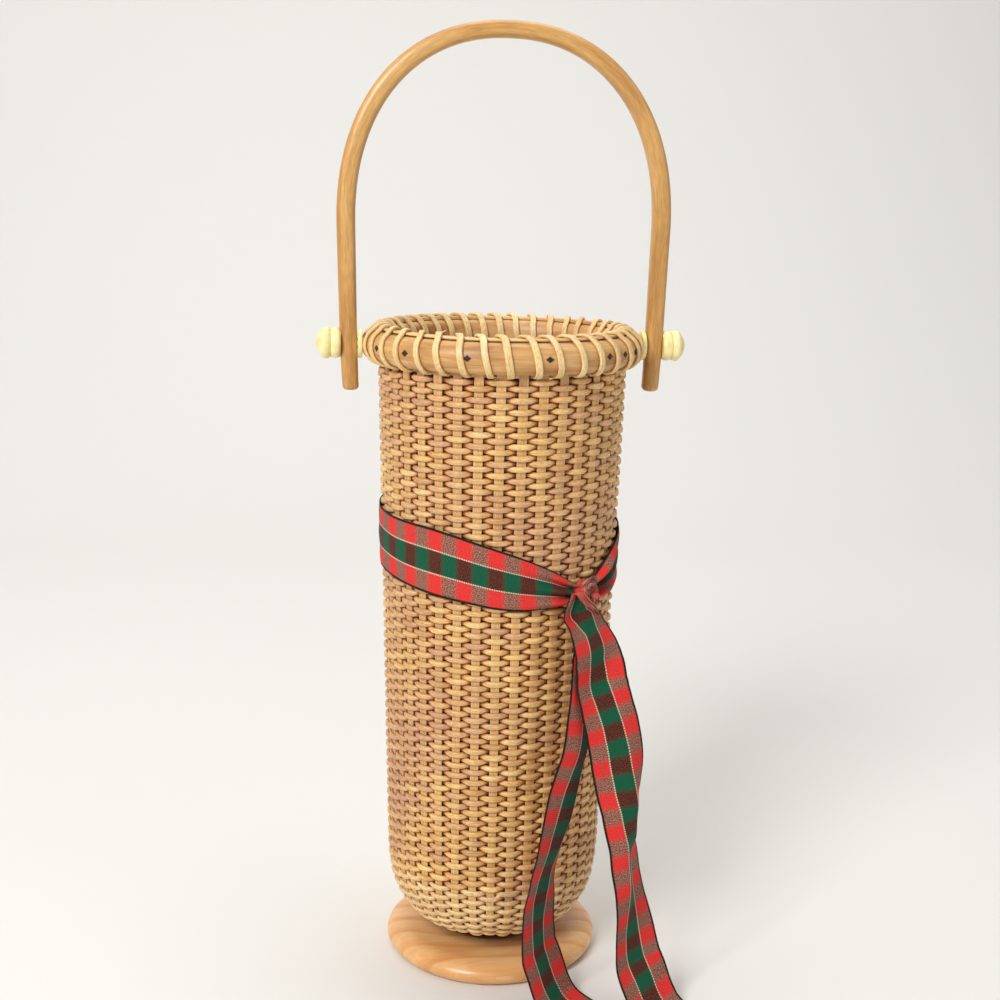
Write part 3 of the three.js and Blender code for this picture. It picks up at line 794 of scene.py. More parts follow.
def turn_piece(name: str, outline: Outline, steps: int) -> Piece:
    """Turns an outline about Z, as on a lathe.

    Args:
        name: The piece's name.
        outline: Points of radius and height. A closed outline gives a ring.
        steps: Facets round the piece.

    Returns:
        The piece.
    """
    piece = draw_line(name, [(radius, 0, height) for radius, height in outline])
    bpy.ops.mesh.spin(steps=steps, angle=math.tau, center=(0, 0, 0), axis=(0, 0, 1))
    bpy.ops.mesh.select_all(action="SELECT")
    bpy.ops.mesh.remove_doubles(threshold=MERGE)
    face_outwards(piece)
    return piece


@dataclass(frozen=True)
class Station:
    """One place along a bent strip.

    Attributes:
        place: Centre of the section.
        wide: Unit direction of the section's width.
        out: Unit direction of the section's thickness.
        along: Distance along the strip.
        width_share: Width here, as a share of the section's.
        depth_share: Thickness here, as a share of the section's.
    """

    place: Vector
    wide: Vector
    out: Vector
    along: float
    width_share: float = 1.0
    depth_share: float = 1.0

    def point(self, across: float, off: float) -> Vector:
        """Gives the place of a point of the section."""
        return self.place + self.wide * across * self.width_share + self.out * off * self.depth_share


def rounded_section(width: float, depth: float, corner: float, corner_steps: int) -> Outline:
    """Gives the outline of a bar with rounded corners.

    Args:
        width: Its width.
        depth: Its thickness.
        corner: Radius of its corners.
        corner_steps: Steps in each corner.

    Returns:
        Points of across and off, from its centre.
    """
    across, off = width / 2 - corner, depth / 2 - corner
    corners = ((across, -off, -90.0), (across, off, 0.0), (-across, off, 90.0), (-across, -off, 180.0))
    return [
        point
        for x, y, start in corners
        for point in arc((x, y), corner, corner, start, start + 90.0, corner_steps)
    ]


def sweep(name: str, section: Outline, stations: Sequence[Station], shift: float = 0.0) -> Piece:
    """Extrudes a section from station to station, and lays the grain of the straight strip on it.

    Args:
        name: The piece's name.
        section: Points of across and off.
        stations: Places along the strip.
        shift: Added to the grain along the strip, so that two strips differ.

    Returns:
        The piece.
    """
    deselect()
    bpy.ops.mesh.primitive_circle_add(vertices=len(section), radius=MM, fill_type="NGON")
    piece = name_piece(name)
    piece.data.attributes.new(GRAIN, "FLOAT_VECTOR", "POINT")
    bpy.ops.object.mode_set(mode="EDIT")
    before: list[Vector] = []
    for station in stations:
        if before:
            bpy.ops.mesh.extrude_region_move()
        edit = bmesh.from_edit_mesh(piece.data)
        grain = edit.verts.layers.float_vector[GRAIN]
        chosen = [vertex for vertex in edit.verts if vertex.select]
        if before:
            chosen.sort(key=lambda vertex: nearest(vertex.co, before))
        for vertex, (across, off) in zip(chosen, section):
            vertex.co = station.point(across, off)
            vertex[grain] = Vector((across, off, station.along + shift))
        before = [vertex.co.copy() for vertex in chosen]
        bmesh.update_edit_mesh(piece.data)
    face_outwards(piece)
    return piece


def upright_strip(name: str, width: float, rows: Sequence[Quad]) -> Piece:
    """Sweeps a small flat strip that stands on edge, with its flat side to the basket.

    Args:
        name: The piece's name.
        width: Its width.
        rows: Degrees round from +X, radius, height and share of the width, from end to end.

    Returns:
        The piece.
    """
    stations: list[Station] = []
    along = 0.0
    for turn, reach, height, share in rows:
        angle = math.radians(turn)
        out = Vector((math.cos(angle), math.sin(angle), 0))
        place = out * reach + Vector((0, 0, height))
        along += (place - stations[-1].place).length if stations else 0.0
        stations.append(Station(place, Vector((0, 0, 1)), out, along, share))
    strip = sweep(name, rounded_section(width, STRIP_DEPTH, STRIP_CORNER, 2), stations)
    smooth(strip)
    return strip


def soften(points: Sequence[tuple[float, ...]]) -> list[tuple[float, ...]]:
    """Cuts the corners of a line of points, and keeps its two ends."""
    cuts = [
        tuple(a + (b - a) * share for a, b in zip(before, after))
        for before, after in pairwise(points)
        for share in (0.25, 0.75)
    ]
    return [points[0], *cuts[1:-1], points[-1]]


def nearest(place: Vector, places: Sequence[Vector]) -> int:
    """Gives the number of the place in a list that lies nearest to a point."""
    return min(range(len(places)), key=lambda number: (places[number] - place).length_squared)


def skin(name: str, rings: Array) -> Piece:
    """Skins rings of points into one closed tube with flat ends.

    Args:
        name: The piece's name.
        rings: Points, by ring, by place in the ring, by axis.

    Returns:
        The piece.
    """
    count, sides, _ = rings.shape
    start = np.arange(count - 1)[:, None] * sides
    side = np.arange(sides)[None, :]
    beside = (side + 1) % sides
    faces = np.stack([start + side, start + beside, start + beside + sides, start + side + sides], -1)
    ends = [tuple(range(sides))[::-1], tuple(range((count - 1) * sides, count * sides))]
    mesh = bpy.data.meshes.new(name)
    mesh.from_pydata(rings.reshape(-1, 3).tolist(), [], faces.reshape(-1, 4).tolist() + ends)
    mesh.validate()
    piece = bpy.data.objects.new(name, mesh)
    bpy.context.scene.collection.objects.link(piece)
    return piece


# Foot


@dataclass
class Foot:
    """The turned foot disc, the base plug on it and the screw that joins them."""

    finishes: Finishes
    facets: int = 128
    edge_rise: float = 4.1 * MM
    top_reach: float = 9 * MM
    hole_radius: float = 2.1 * MM
    groove_depth: float = 4 * MM
    groove_rise: float = 6.4 * MM
    groove_half: float = 1.1 * MM
    cove_depth: float = 8 * MM
    recess_radius: float = 4.3 * MM
    recess_depth: float = 3 * MM
    edge_round: float = 0.8 * MM
    screw_facets: int = 24
    shank: float = 1.8 * MM
    crown: float = 0.5 * MM
    head_height: float = 2.4 * MM
    slot_width: float = 1 * MM
    slot_depth: float = 0.9 * MM

    def build(self) -> None:
        """Models and dresses the three pieces."""
        self.disc()
        self.plug()
        self.screw()

    def disc(self) -> None:
        """Turns the disc, whose top edge slopes in a long soft round."""
        low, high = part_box("foot_disc")
        radius, thickness = high.x, high.z - low.z
        edge, reach = self.edge_rise, self.top_reach
        outline = [
            (0.0, 0.0),
            *arc((radius - edge, edge), edge, edge, -90, 0, 10),
            *arc((radius - reach, edge), reach, thickness - edge, 0, 90, 14)[1:],
            (0.0, thickness),
        ]
        disc = turn_piece("turned_foot_disc", outline, self.facets)
        smooth(disc)
        dress(disc, self.finishes.foot, Slot.FOOT, "foot_disc")

    def plug(self) -> None:
        """Turns the plug, with the groove that holds the staves and the recess for the screw."""
        low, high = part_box("base_plug")
        radius, bottom, top = high.x, low.z, high.z
        groove = bottom + self.groove_rise
        edge = self.edge_round
        outline = [
            (self.hole_radius, bottom),
            *arc((radius, bottom), self.cove_depth, groove - self.groove_half - bottom, 180, 90, 8),
            (radius - self.groove_depth, groove - self.groove_half),
            (radius - self.groove_depth, groove + self.groove_half),
            (radius, groove + self.groove_half),
            *arc((radius - edge, top - edge), edge, edge, 0, 90, 4),
            (self.recess_radius, top),
            (self.recess_radius, top - self.recess_depth),
            (self.hole_radius, top - self.recess_depth),
            (self.hole_radius, bottom),
        ]
        plug = turn_piece("turned_base_plug", outline, self.facets // 2)
        smooth(plug)
        dress(plug, self.finishes.plug, Slot.PLUG, "base_plug")

    def screw(self) -> None:
        """Turns the screw and cuts the slot in its head."""
        low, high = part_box("base_screw")
        head, shank, crown = high.x, self.shank, self.crown
        neck = high.z - self.head_height
        outline = [
            (0.0, low.z),
            (shank, low.z + shank),
            (shank, neck),
            (head, neck),
            (head, high.z - crown),
            *arc((head - crown, high.z - crown), crown, crown, 0, 90, 3)[1:],
            (0.0, high.z),
        ]
        screw = turn_piece("flat_head_screw", outline, self.screw_facets)
        deselect()
        bpy.ops.mesh.primitive_cube_add(size=1, location=(0, 0, high.z))
        blade = name_piece("screwdriver_blade")
        blade.scale = (2.4 * head, self.slot_width, 2 * self.slot_depth)  # out past both sides of the head
        apply_place(blade)
        finish_modifier(screw, "BOOLEAN", object=blade, operation="DIFFERENCE", solver="EXACT")
        bpy.data.objects.remove(blade)
        smooth(screw)
        dress(screw, self.finishes.screw, Slot.SCREW, "base_screw")


# Wall: staves and weaving


@dataclass
class Wall:
    """The shape of the wall: a straight cone on a rounded bottom, measured on the outer face."""

    thickness: float = 3.4 * MM
    foot_radius: float = 45 * MM
    foot_height: float = 44 * MM
    top_radius: float = 50.2 * MM
    bottom_reach: float = 20 * MM
    bottom_drop: float = 30 * MM
    bottom_end: float = 70.0  # degrees round the bottom, where the weaving starts
    bulge: float = 0.9 * MM  # of the weavers over the outer face
    samples: int = 240
    top_height: float = field(init=False)
    path: Array = field(init=False)
    distances: Array = field(init=False)

    def __post_init__(self) -> None:
        """Samples the middle of the wall, from the plug to the top."""
        self.top_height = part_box("woven_wall")[1].z
        turns = np.radians(np.linspace(self.bottom_end, 0.0, self.samples))
        normal = unit(np.stack([np.cos(turns) / self.bottom_reach, -np.sin(turns) / self.bottom_drop], 1))
        radius = self.foot_radius - self.bottom_reach * (1 - np.cos(turns))
        height = self.foot_height - self.bottom_drop * np.sin(turns)
        middle = np.stack([radius, height], 1) - normal * self.thickness / 2
        run = Vector((self.top_radius - self.foot_radius, self.top_height - self.foot_height)).normalized()
        top = np.array([[self.top_radius - self.thickness / 2, self.top_height]])
        across = np.array([[run.y, -run.x]])
        self.path = np.hstack([np.vstack([middle, top]), np.vstack([normal, across])])
        self.distances = runs_along(self.path[:, :2])

    @property
    def length(self) -> float:
        """Length of the wall's middle from the plug to the top."""
        return float(self.distances[-1])

    def at(self, distance: Array) -> tuple[Array, Array, Array, Array]:
        """Gives radius, height and the outward normal's two parts at distances from the plug.

        Args:
            distance: Distances along the wall's middle.

        Returns:
            Radius, height, and the normal's radial and upward parts.
        """
        radius, height, out, up = (np.interp(distance, self.distances, column) for column in self.path.T)
        size = np.hypot(out, up)
        return radius, height, out / size, up / size

    def outer_radius(self, height: float | Array) -> float | Array:
        """Gives the outer radius of the straight part at a height or at many."""
        share = (height - self.foot_height) / (self.top_height - self.foot_height)
        return self.foot_radius + (self.top_radius - self.foot_radius) * share


@dataclass
class Staves:
    """The upright ribs of flat cane, from the groove of the plug to the rim."""

    wall: Wall
    finishes: Finishes
    width: float = 3.9 * MM
    foot_width: float = 2.0 * MM
    thickness: float = 0.95 * MM
    corner: float = 0.3 * MM
    # An even touch of the painted shade and patina over each whole stave.
    shade_and_patina: float = 0.18
    groove_depth: float = 3.7 * MM
    groove_rise: float = 6.4 * MM
    bottom_steps: int = 16
    wall_steps: int = 8
    sway: float = 0.18 * MM
    sway_waves: float = 1.3
    grain_shift: float = 0.37
    seed: int = 11

    def stations(self, top: float) -> list[Station]:
        """Gives the places along the stave that stands at +X, from the plug up.

        Args:
            top: Height of its upper end.

        Returns:
            The stations.
        """
        plug_low, plug_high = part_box("base_plug")
        plug_radius = plug_high.x
        groove_end = plug_radius - self.groove_depth
        groove_height = plug_low.z + self.groove_rise
        bottom = np.linspace(0.0, self.wall.distances[-2], self.bottom_steps)
        straight = np.linspace(self.wall.distances[-2], self.wall.length, self.wall_steps)[1:]
        radius, height, out, up = self.wall.at(np.concatenate([bottom, straight]))
        places = [(groove_end, groove_height), *zip(radius, height)]
        normals = [(out[0], up[0]), *zip(out, up)]
        lean = out[-1], up[-1]
        rise = top - places[-1][1]
        places.append((places[-1][0] + rise * -lean[1] / lean[0], top))
        normals.append(lean)
        along = 0.0
        stations = []
        for number, ((r, z), (n, m)) in enumerate(zip(places, normals)):
            if number:
                along += math.dist(places[number - 1], (r, z))
            share = (r - plug_radius) / (self.wall.top_radius - plug_radius)
            width = (self.foot_width + (self.width - self.foot_width) * max(share, 0.0)) / self.width
            stations.append(Station(Vector((r, 0, z)), Vector((0, 1, 0)), Vector((n, 0, m)), along, width))
        return stations

    def build(self) -> None:
        """Sweeps each stave at +X, sways it a little and turns it to its place."""
        chance = np.random.default_rng(self.seed)
        section = rounded_section(self.width, self.thickness, self.corner, 2)
        for number in range(STAVE_COUNT):
            node = f"stave_{number + 1:02d}"
            stations = self.stations(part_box(node)[1].z)
            stave = sweep(f"flat_cane_{node}", section, stations, self.grain_shift * number)
            sway = chance.normal(0.0, self.sway)
            places = vertices_of(stave)
            height = places[:, 2] / self.wall.top_height
            places[:, 1] += sway * np.sin(height * math.tau * self.sway_waves + number)
            move_vertices(stave, places)
            stave.rotation_euler.z = number * PITCH
            apply_place(stave)
            lay_attribute(stave, SHADE_AND_PATINA, np.full(len(stave.data.vertices), self.shade_and_patina))
            smooth(stave)
            dress(stave, self.finishes.stave, Slot.STAVE, node)


@dataclass(frozen=True)
class Weaver:
    """One gauge of cane weaver, and how it lies in the wall.

    Attributes:
        width: Its width over a stave.
        swing: From the middle of the wall to the middle of the strand, over a stave.
        taper_share: Width of its outer face where it crosses the wall, of that over a stave.
    """

    width: float
    swing: float
    taper_share: float


@dataclass
class Weaving:
    """The cane weaver: one spiral that goes over and under the staves, in rows up the whole wall."""

    wall: Wall
    finishes: Finishes
    row_pitch: float = 2.2 * MM
    thin: Weaver = Weaver(2.05 * MM, 0.9 * MM, 0.82)  # the first rows
    full: Weaver = Weaver(2.22 * MM, 1.06 * MM, 0.6)
    strand_depth: float = 1.3 * MM
    sides: int = 8
    steps_per_pitch: int = 8
    squareness: float = 2.7  # power of the section's outline; 2 is an ellipse
    taper_power: float = 0.8  # less than 1 keeps the outer face wide for longer
    waist_share: float = 1.34  # width of its inner face where it crosses the wall
    inner_share: float = 1.5  # width behind a stave, where the rows are packed less tightly
    crevice: tuple[float, float] = (-0.45 * MM, 0.62 * MM)  # off the wall's middle: where the painted shade and patina are deepest, and where they end
    wander: float = 0.13 * MM
    width_drift: float = 0.03
    face_drift: float = 0.05
    depth_drift: float = 0.06
    drift_staves: int = 160 * STAVE_COUNT  # staves with a drift of their own
    start_rows: int = 13
    lengths: int = 3
    loose_width: float = 1.7 * MM
    seed: int = 5

    # The loose end of a weaver: degrees round, height, distance off the wall's surface in millimetres
    # and share of its width.
    loose_route: tuple[Quad, ...] = (
        (-96.2, 38.6, 0.5, 0.2),
        (-95.4, 40.2, 0.9, 0.4),
        (-94.2, 41.8, 1.2, 0.7),
        (-92.4, 42.9, 1.1, 1.0),
        (-89.4, 42.9, 0.9, 1.0),
        (-86.4, 42.5, 0.6, 1.0),
        (-84.2, 42.2, 0.1, 0.9),
    )

    def build(self) -> None:
        """Makes the spiral in a few lengths, which together stand for the woven wall."""
        last = math.floor(self.wall.length / self.row_pitch * STAVE_COUNT)
        cuts = [0, *np.linspace(self.start_rows * STAVE_COUNT, last, self.lengths + 1).round().astype(int)]
        for number, (first, end) in enumerate(pairwise(cuts)):
            strand = self.strand(f"cane_weaver_{number}", first, end, self.full if number else self.thin)
            material = self.finishes.weaver if number else self.finishes.start
            dress(strand, material, Slot.WEAVER, "woven_wall")
        self.loose_end()

    def loose_end(self) -> None:
        """Lets one end of the weaver stick out, low on the front."""
        rows = [
            (turn, self.wall.outer_radius(height * MM) + self.wall.bulge + off * MM, height * MM, share)
            for turn, height, off, share in self.loose_route
        ]
        end = upright_strip("loose_weaver_end", self.loose_width, rows)
        lay_attribute(end, SHADE_AND_PATINA, np.zeros(len(end.data.vertices)))
        dress(end, self.finishes.start, Slot.WEAVER)

    def section(self, width: float) -> tuple[Array, Array]:
        """Gives a strand's section, an oval with flattened sides.

        Args:
            width: Its width.

        Returns:
            How far across the strand and how far off its middle each point lies.
        """
        angle = (np.arange(self.sides) + 0.5) * math.tau / self.sides
        power = 2 / self.squareness
        across, off = (np.sign(part) * np.abs(part) ** power for part in (np.cos(angle), np.sin(angle)))
        return across * (width / 2 / across.max()), off * (self.strand_depth / 2 / off.max())

    def strand(self, name: str, first: int, last: int, weaver: Weaver) -> Piece:
        """Makes one length of the spiral.

        Args:
            name: The piece's name.
            first: Where it starts, in staves passed since the start of the weaving.
            last: Where it ends.
            weaver: Its cane.

        Returns:
            The piece.
        """
        passed = np.linspace(first, last, int((last - first) * self.steps_per_pitch) + 1)
        wave = np.cos(np.pi * passed)
        over = wave * (1.5 - 0.5 * wave**2)  # flatter over a stave than a plain wave
        staves = np.arange(math.floor(first) - 1, math.ceil(last) + 2)
        chance = np.random.default_rng(self.seed)
        chosen = chance.normal(0.0, 1.0, (4, self.drift_staves))[:, staves % self.drift_staves]
        drift, bulge, thick, high = (np.interp(passed, staves, values) for values in chosen)
        distance = self.row_pitch * passed / STAVE_COUNT + self.wander * drift
        radius, height, out, up = self.wall.at(np.clip(distance, 0.0, self.wall.length))
        lift = weaver.swing * over + 0.5 * self.wander * bulge
        turn = passed * PITCH
        flat = radius + lift * out
        centre = np.stack([flat * np.cos(turn), flat * np.sin(turn), height + lift * up], 1)
        wide = np.stack([-up * np.cos(turn), -up * np.sin(turn), out], 1)
        outward = unit(np.cross(unit(np.gradient(centre, axis=0)), wide))
        across, off = self.section(weaver.width)
        extreme = np.where(over > 0, 1.0, self.inner_share)
        width = self.waist_share + (extreme - self.waist_share) * np.abs(over)
        face = weaver.taper_share + (1 - weaver.taper_share) * np.abs(wave) ** self.taper_power
        width *= 1 + self.width_drift * high
        face *= 1 + self.face_drift * high
        width = np.where(off[None, :] > 0, face[:, None], width[:, None])
        depth = 1 + self.depth_drift * thick
        rings = (
            centre[:, None, :]
            + wide[:, None, :] * (across[None, :] * width)[:, :, None]
            + outward[:, None, :] * (off[None, :] * depth[:, None])[:, :, None]
        )
        piece = skin(name, rings)
        run = runs_along(centre) + first * self.wall.foot_radius * PITCH
        grain = np.stack(np.broadcast_arrays(across, off, run[:, None]), -1)
        lay_attribute(piece, GRAIN, grain.reshape(-1, 3))
        facing = np.where(off < 0.9 * off.min(), -1, 1)  # only the innermost face is seen from inside
        # Painted shade with patina: the deeper a surface lies below the weave's outer surface, the darker it
        # is painted.
        surface = facing * (lift[:, None] + off)
        dark, clean = self.crevice
        share = np.clip((surface - dark) / (clean - dark), 0.0, 1.0)
        lay_attribute(piece, SHADE_AND_PATINA, (1 - ease(share)).ravel())
        make_active(piece)
        bpy.ops.object.shade_smooth()
        return piece


# Rim


@dataclass
class Rim:
    """Two half-round hoops, the strip over the stave tops, the lashing and the small nails."""

    finishes: Finishes
    outer_flat: float = 49.65 * MM  # radius of the outer hoop's flat side
    inner: float = 43.15 * MM  # radius of the inner hoop's round side
    flat: float = 1.0 * MM  # between a hoop's flat side and its round
    facets: int = 148
    round_steps: int = 14
    round_off: float = 0.35 * MM  # of the strip's edges
    seam_depth: float = 0.9 * MM  # the shadow line between the strip and the outer hoop
    seam_height: float = 0.42 * MM
    lashing_width: float = 2.55 * MM
    lashing_depth: float = 1.1 * MM
    lashing_corner: float = 0.42 * MM
    lashing_gap: float = 0.3 * MM
    lashing_steps: int = 8  # over a hoop's round
    lashing_drift: Triple = (0.035, 0.05, 0.05)  # of a turn's start, lean and width
    outer_slant_share: float = 0.25
    inner_slant_share: float = 0.27
    grain_shift: float = 0.53
    back_turns: int = 19  # in the first of the two lengths of cane
    nail_radius: float = 1.6 * MM
    nail_length: float = 2 * MM
    nail_crown: float = 0.12 * MM
    nail_squeeze: float = 0.78
    nail_sink: float = 0.85 * MM
    nail_rise: float = 0.4 * MM
    nail_turns: tuple[float, ...] = (-68.0, -48.4, -20.5, 11.5, 40.0, 51.0, 62.0, 118.0, 160.0, 205.0, 246.0)
    loose_width: float = 0.9 * MM
    seed: int = 3
    low: float = field(init=False)
    high: float = field(init=False)
    outer: float = field(init=False)
    inner_flat: float = field(init=False)
    cap_bottom: float = field(init=False)
    cap_top: float = field(init=False)

    # The loose end of the lashing: degrees round, millimetres off the outer hoop's flat side and above
    # the strip, and share of its width.
    loose_route: tuple[Quad, ...] = (
        (-126.5, 0.4, 0.2, 1.0),
        (-125.06, -0.4, 0.96, 0.9),
        (-123.62, -1.2, 1.72, 0.6),
        (-122.9, -1.6, 2.1, 0.2),
    )

    def __post_init__(self) -> None:
        """Reads the hoops' sizes from the frame."""
        low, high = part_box("outer_rim_hoop")
        self.low, self.high, self.outer = low.z, high.z, high.x
        low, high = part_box("rim_cap")
        self.cap_bottom, self.cap_top = low.z, high.z
        self.inner_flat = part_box("inner_rim_hoop")[1].x

    def round_side(self, side: int, off: float, steps: int) -> Outline:
        """Gives points on a hoop's round side, from its lower edge up.

        Args:
            side: 1 for the outer hoop and -1 for the inner one.
            off: Distance off the wood.
            steps: Number of steps.

        Returns:
            Points of radius and height.
        """
        flat = self.outer_flat if side > 0 else self.inner_flat
        reach = abs((self.outer if side > 0 else self.inner) - flat) - self.flat + off
        middle = (self.low + self.high) / 2
        rise = (self.high - self.low) / 2 + off
        points = arc((0.0, middle), reach, rise, -90, 90, steps)
        return [(flat + side * (self.flat + radius), height) for radius, height in points]

    def hoop(self, name: str, side: int, node: str) -> None:
        """Bends one half-round hoop.

        Args:
            name: The piece's name.
            side: 1 for the outer hoop and -1 for the inner one.
            node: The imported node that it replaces.
        """
        flat = self.outer_flat if side > 0 else self.inner_flat
        outline = [(flat, self.low), *self.round_side(side, 0.0, self.round_steps), (flat, self.high)]
        hoop = turn_piece(name, [*outline, outline[0]], self.facets)
        self.lay_round_grain(hoop, flat)
        smooth(hoop, 50)
        dress(hoop, self.finishes.hoop, Slot.HOOP, node)

    def lay_round_grain(self, piece: Piece, radius: float) -> None:
        """Lays the grain of a bent strip: out from the basket, up, and round it.

        Args:
            piece: The piece.
            radius: Radius at which the grain round it has its true length.
        """
        places = vertices_of(piece)
        turn = np.arctan2(places[:, 1], places[:, 0])
        grain = np.stack([np.hypot(places[:, 0], places[:, 1]), places[:, 2], turn * radius], 1)
        lay_attribute(piece, GRAIN, grain)

    def cap(self) -> None:
        """Lays the thin strip over the stave tops."""
        low, high = self.inner_flat - self.flat, self.outer_flat + self.flat
        edge = self.round_off
        outline = [
            (low, self.cap_bottom),
            (high - self.seam_depth, self.cap_bottom),
            (high - self.seam_depth, self.cap_bottom + self.seam_height),
            (high, self.cap_bottom + self.seam_height),
            *arc((high - edge, self.cap_top - edge), edge, edge, 0, 90, 3),
            *arc((low + edge, self.cap_top - edge), edge, edge, 90, 180, 3),
            (low, self.cap_bottom),
        ]
        cap = turn_piece("thin_rim_cap", outline, self.facets)
        self.lay_round_grain(cap, high)
        smooth(cap)
        dress(cap, self.finishes.cap, Slot.HOOP, "rim_cap")

    def turn_path(self) -> list[Triple]:
        """Lays out one turn of lashing, from inside over to outside.

        Returns:
            Radius, height and share of a pitch at places along it.
        """
        off = self.lashing_gap + self.lashing_depth / 2
        rise = self.high - self.low
        inside = [
            (radius, height, self.inner_slant_share * (height - self.low) / rise)
            for radius, height in self.round_side(-1, off, self.lashing_steps)
        ]
        outside = [
            (radius, height, 1 - self.outer_slant_share * (height - self.low) / rise)
            for radius, height in reversed(self.round_side(1, off, self.lashing_steps))
        ]
        over = self.cap_top + off
        low, high = self.inner_flat - self.flat, self.outer_flat + self.flat
        across = 1 - self.outer_slant_share - self.inner_slant_share
        points = [
            (self.inner_flat, self.low - off, 0.0),
            *inside[:-1],
            (low, over, self.inner_slant_share + across * 0.2),
            (high, over, 1 - self.outer_slant_share - across * 0.2),
            *outside[1:],
            (self.outer_flat, self.low - off, 1.0),
        ]
        return soften(soften(points))

    def lashing(self) -> None:
        """Winds the turns of lashing, one in each gap between staves, each a little different."""
        chance = np.random.default_rng(self.seed)
        section = rounded_section(self.lashing_width, self.lashing_depth, self.lashing_corner, 3)
        path = self.turn_path()
        for number in range(STAVE_COUNT):
            start, lean, width = chance.normal(0.0, self.lashing_drift)
            gap = number + 0.5 + start
            points = []
            for radius, height, share in path:
                turn = (gap + share * (1 + lean)) * PITCH
                points.append(Vector((radius * math.cos(turn), radius * math.sin(turn), height)))
            stations = self.strip_stations(points, path, 1 + width)
            strip = sweep(f"cane_lashing_{number + 1:02d}", section, stations, self.grain_shift * number)
            smooth(strip, 60)
            node = "rim_lashing_back" if number < self.back_turns else "rim_lashing_front"
            dress(strip, self.finishes.lashing, Slot.LASHING, node)

    def strip_stations(
        self, points: Sequence[Vector], path: Sequence[Triple], width: float
    ) -> list[Station]:
        """Gives the stations of one turn, with its flat side on the rim.

        Args:
            points: The strip's middle.
            path: The same places as radius, height and share.
            width: Width, as a share of the section's.

        Returns:
            The stations.
        """
        stations = []
        along = 0.0
        last = len(points) - 1
        for number, point in enumerate(points):
            before, after = max(number - 1, 0), min(number + 1, last)
            tangent = (points[after] - points[before]).normalized()
            steep = Vector((path[after][0] - path[before][0], path[after][1] - path[before][1])).normalized()
            round_to = Vector((point.x, point.y, 0)).normalized()
            out = Vector((-steep.y * round_to.x, -steep.y * round_to.y, steep.x))
            wide = tangent.cross(out).normalized()
            along += (point - points[before]).length
            stations.append(Station(point, wide, wide.cross(tangent).normalized(), along, width))
        return stations

    def nails(self) -> None:
        """Drives small dark nails through the outer hoop."""
        middle = (self.low + self.high) / 2
        for number, turn in enumerate(self.nail_turns):
            deselect()
            bpy.ops.mesh.primitive_cylinder_add(vertices=4, radius=self.nail_radius, depth=self.nail_length)
            nail = name_piece(f"rim_nail_{number + 1:02d}")
            bpy.ops.object.mode_set(mode="EDIT")
            edit = bmesh.from_edit_mesh(nail.data)
            for face in edit.faces:
                face.select = face.normal.z > 0.9
            bpy.ops.mesh.inset(thickness=0.35 * self.nail_radius, depth=self.nail_crown)
            bpy.ops.object.mode_set(mode="OBJECT")
            angle = math.radians(turn - 90)
            nail.rotation_euler = (0, math.pi / 2, angle)
            nail.scale = (self.nail_squeeze, 1, 1)
            reach = self.outer - self.nail_sink
            nail.location = (reach * math.cos(angle), reach * math.sin(angle), middle + self.nail_rise)
            apply_place(nail)
            smooth(nail)
            dress(nail, self.finishes.nail, Slot.SCREW)

    def loose_tail(self) -> None:
        """Lets the cut end of the lashing stand up from under a turn at the front left."""
        rows = [
            (turn, self.outer_flat + off * MM, self.cap_top + rise * MM, share)
            for turn, off, rise, share in self.loose_route
        ]
        tail = upright_strip("loose_lashing_tail", self.loose_width, rows)
        dress(tail, self.finishes.lashing, Slot.LASHING)

    def build(self) -> None:
        """Models and dresses the whole rim."""
        self.hoop("half_round_outer_hoop", 1, "outer_rim_hoop")
        self.hoop("half_round_inner_hoop", -1, "inner_rim_hoop")
        self.cap()
        self.lashing()
        self.loose_tail()
        self.nails()


# Pivots


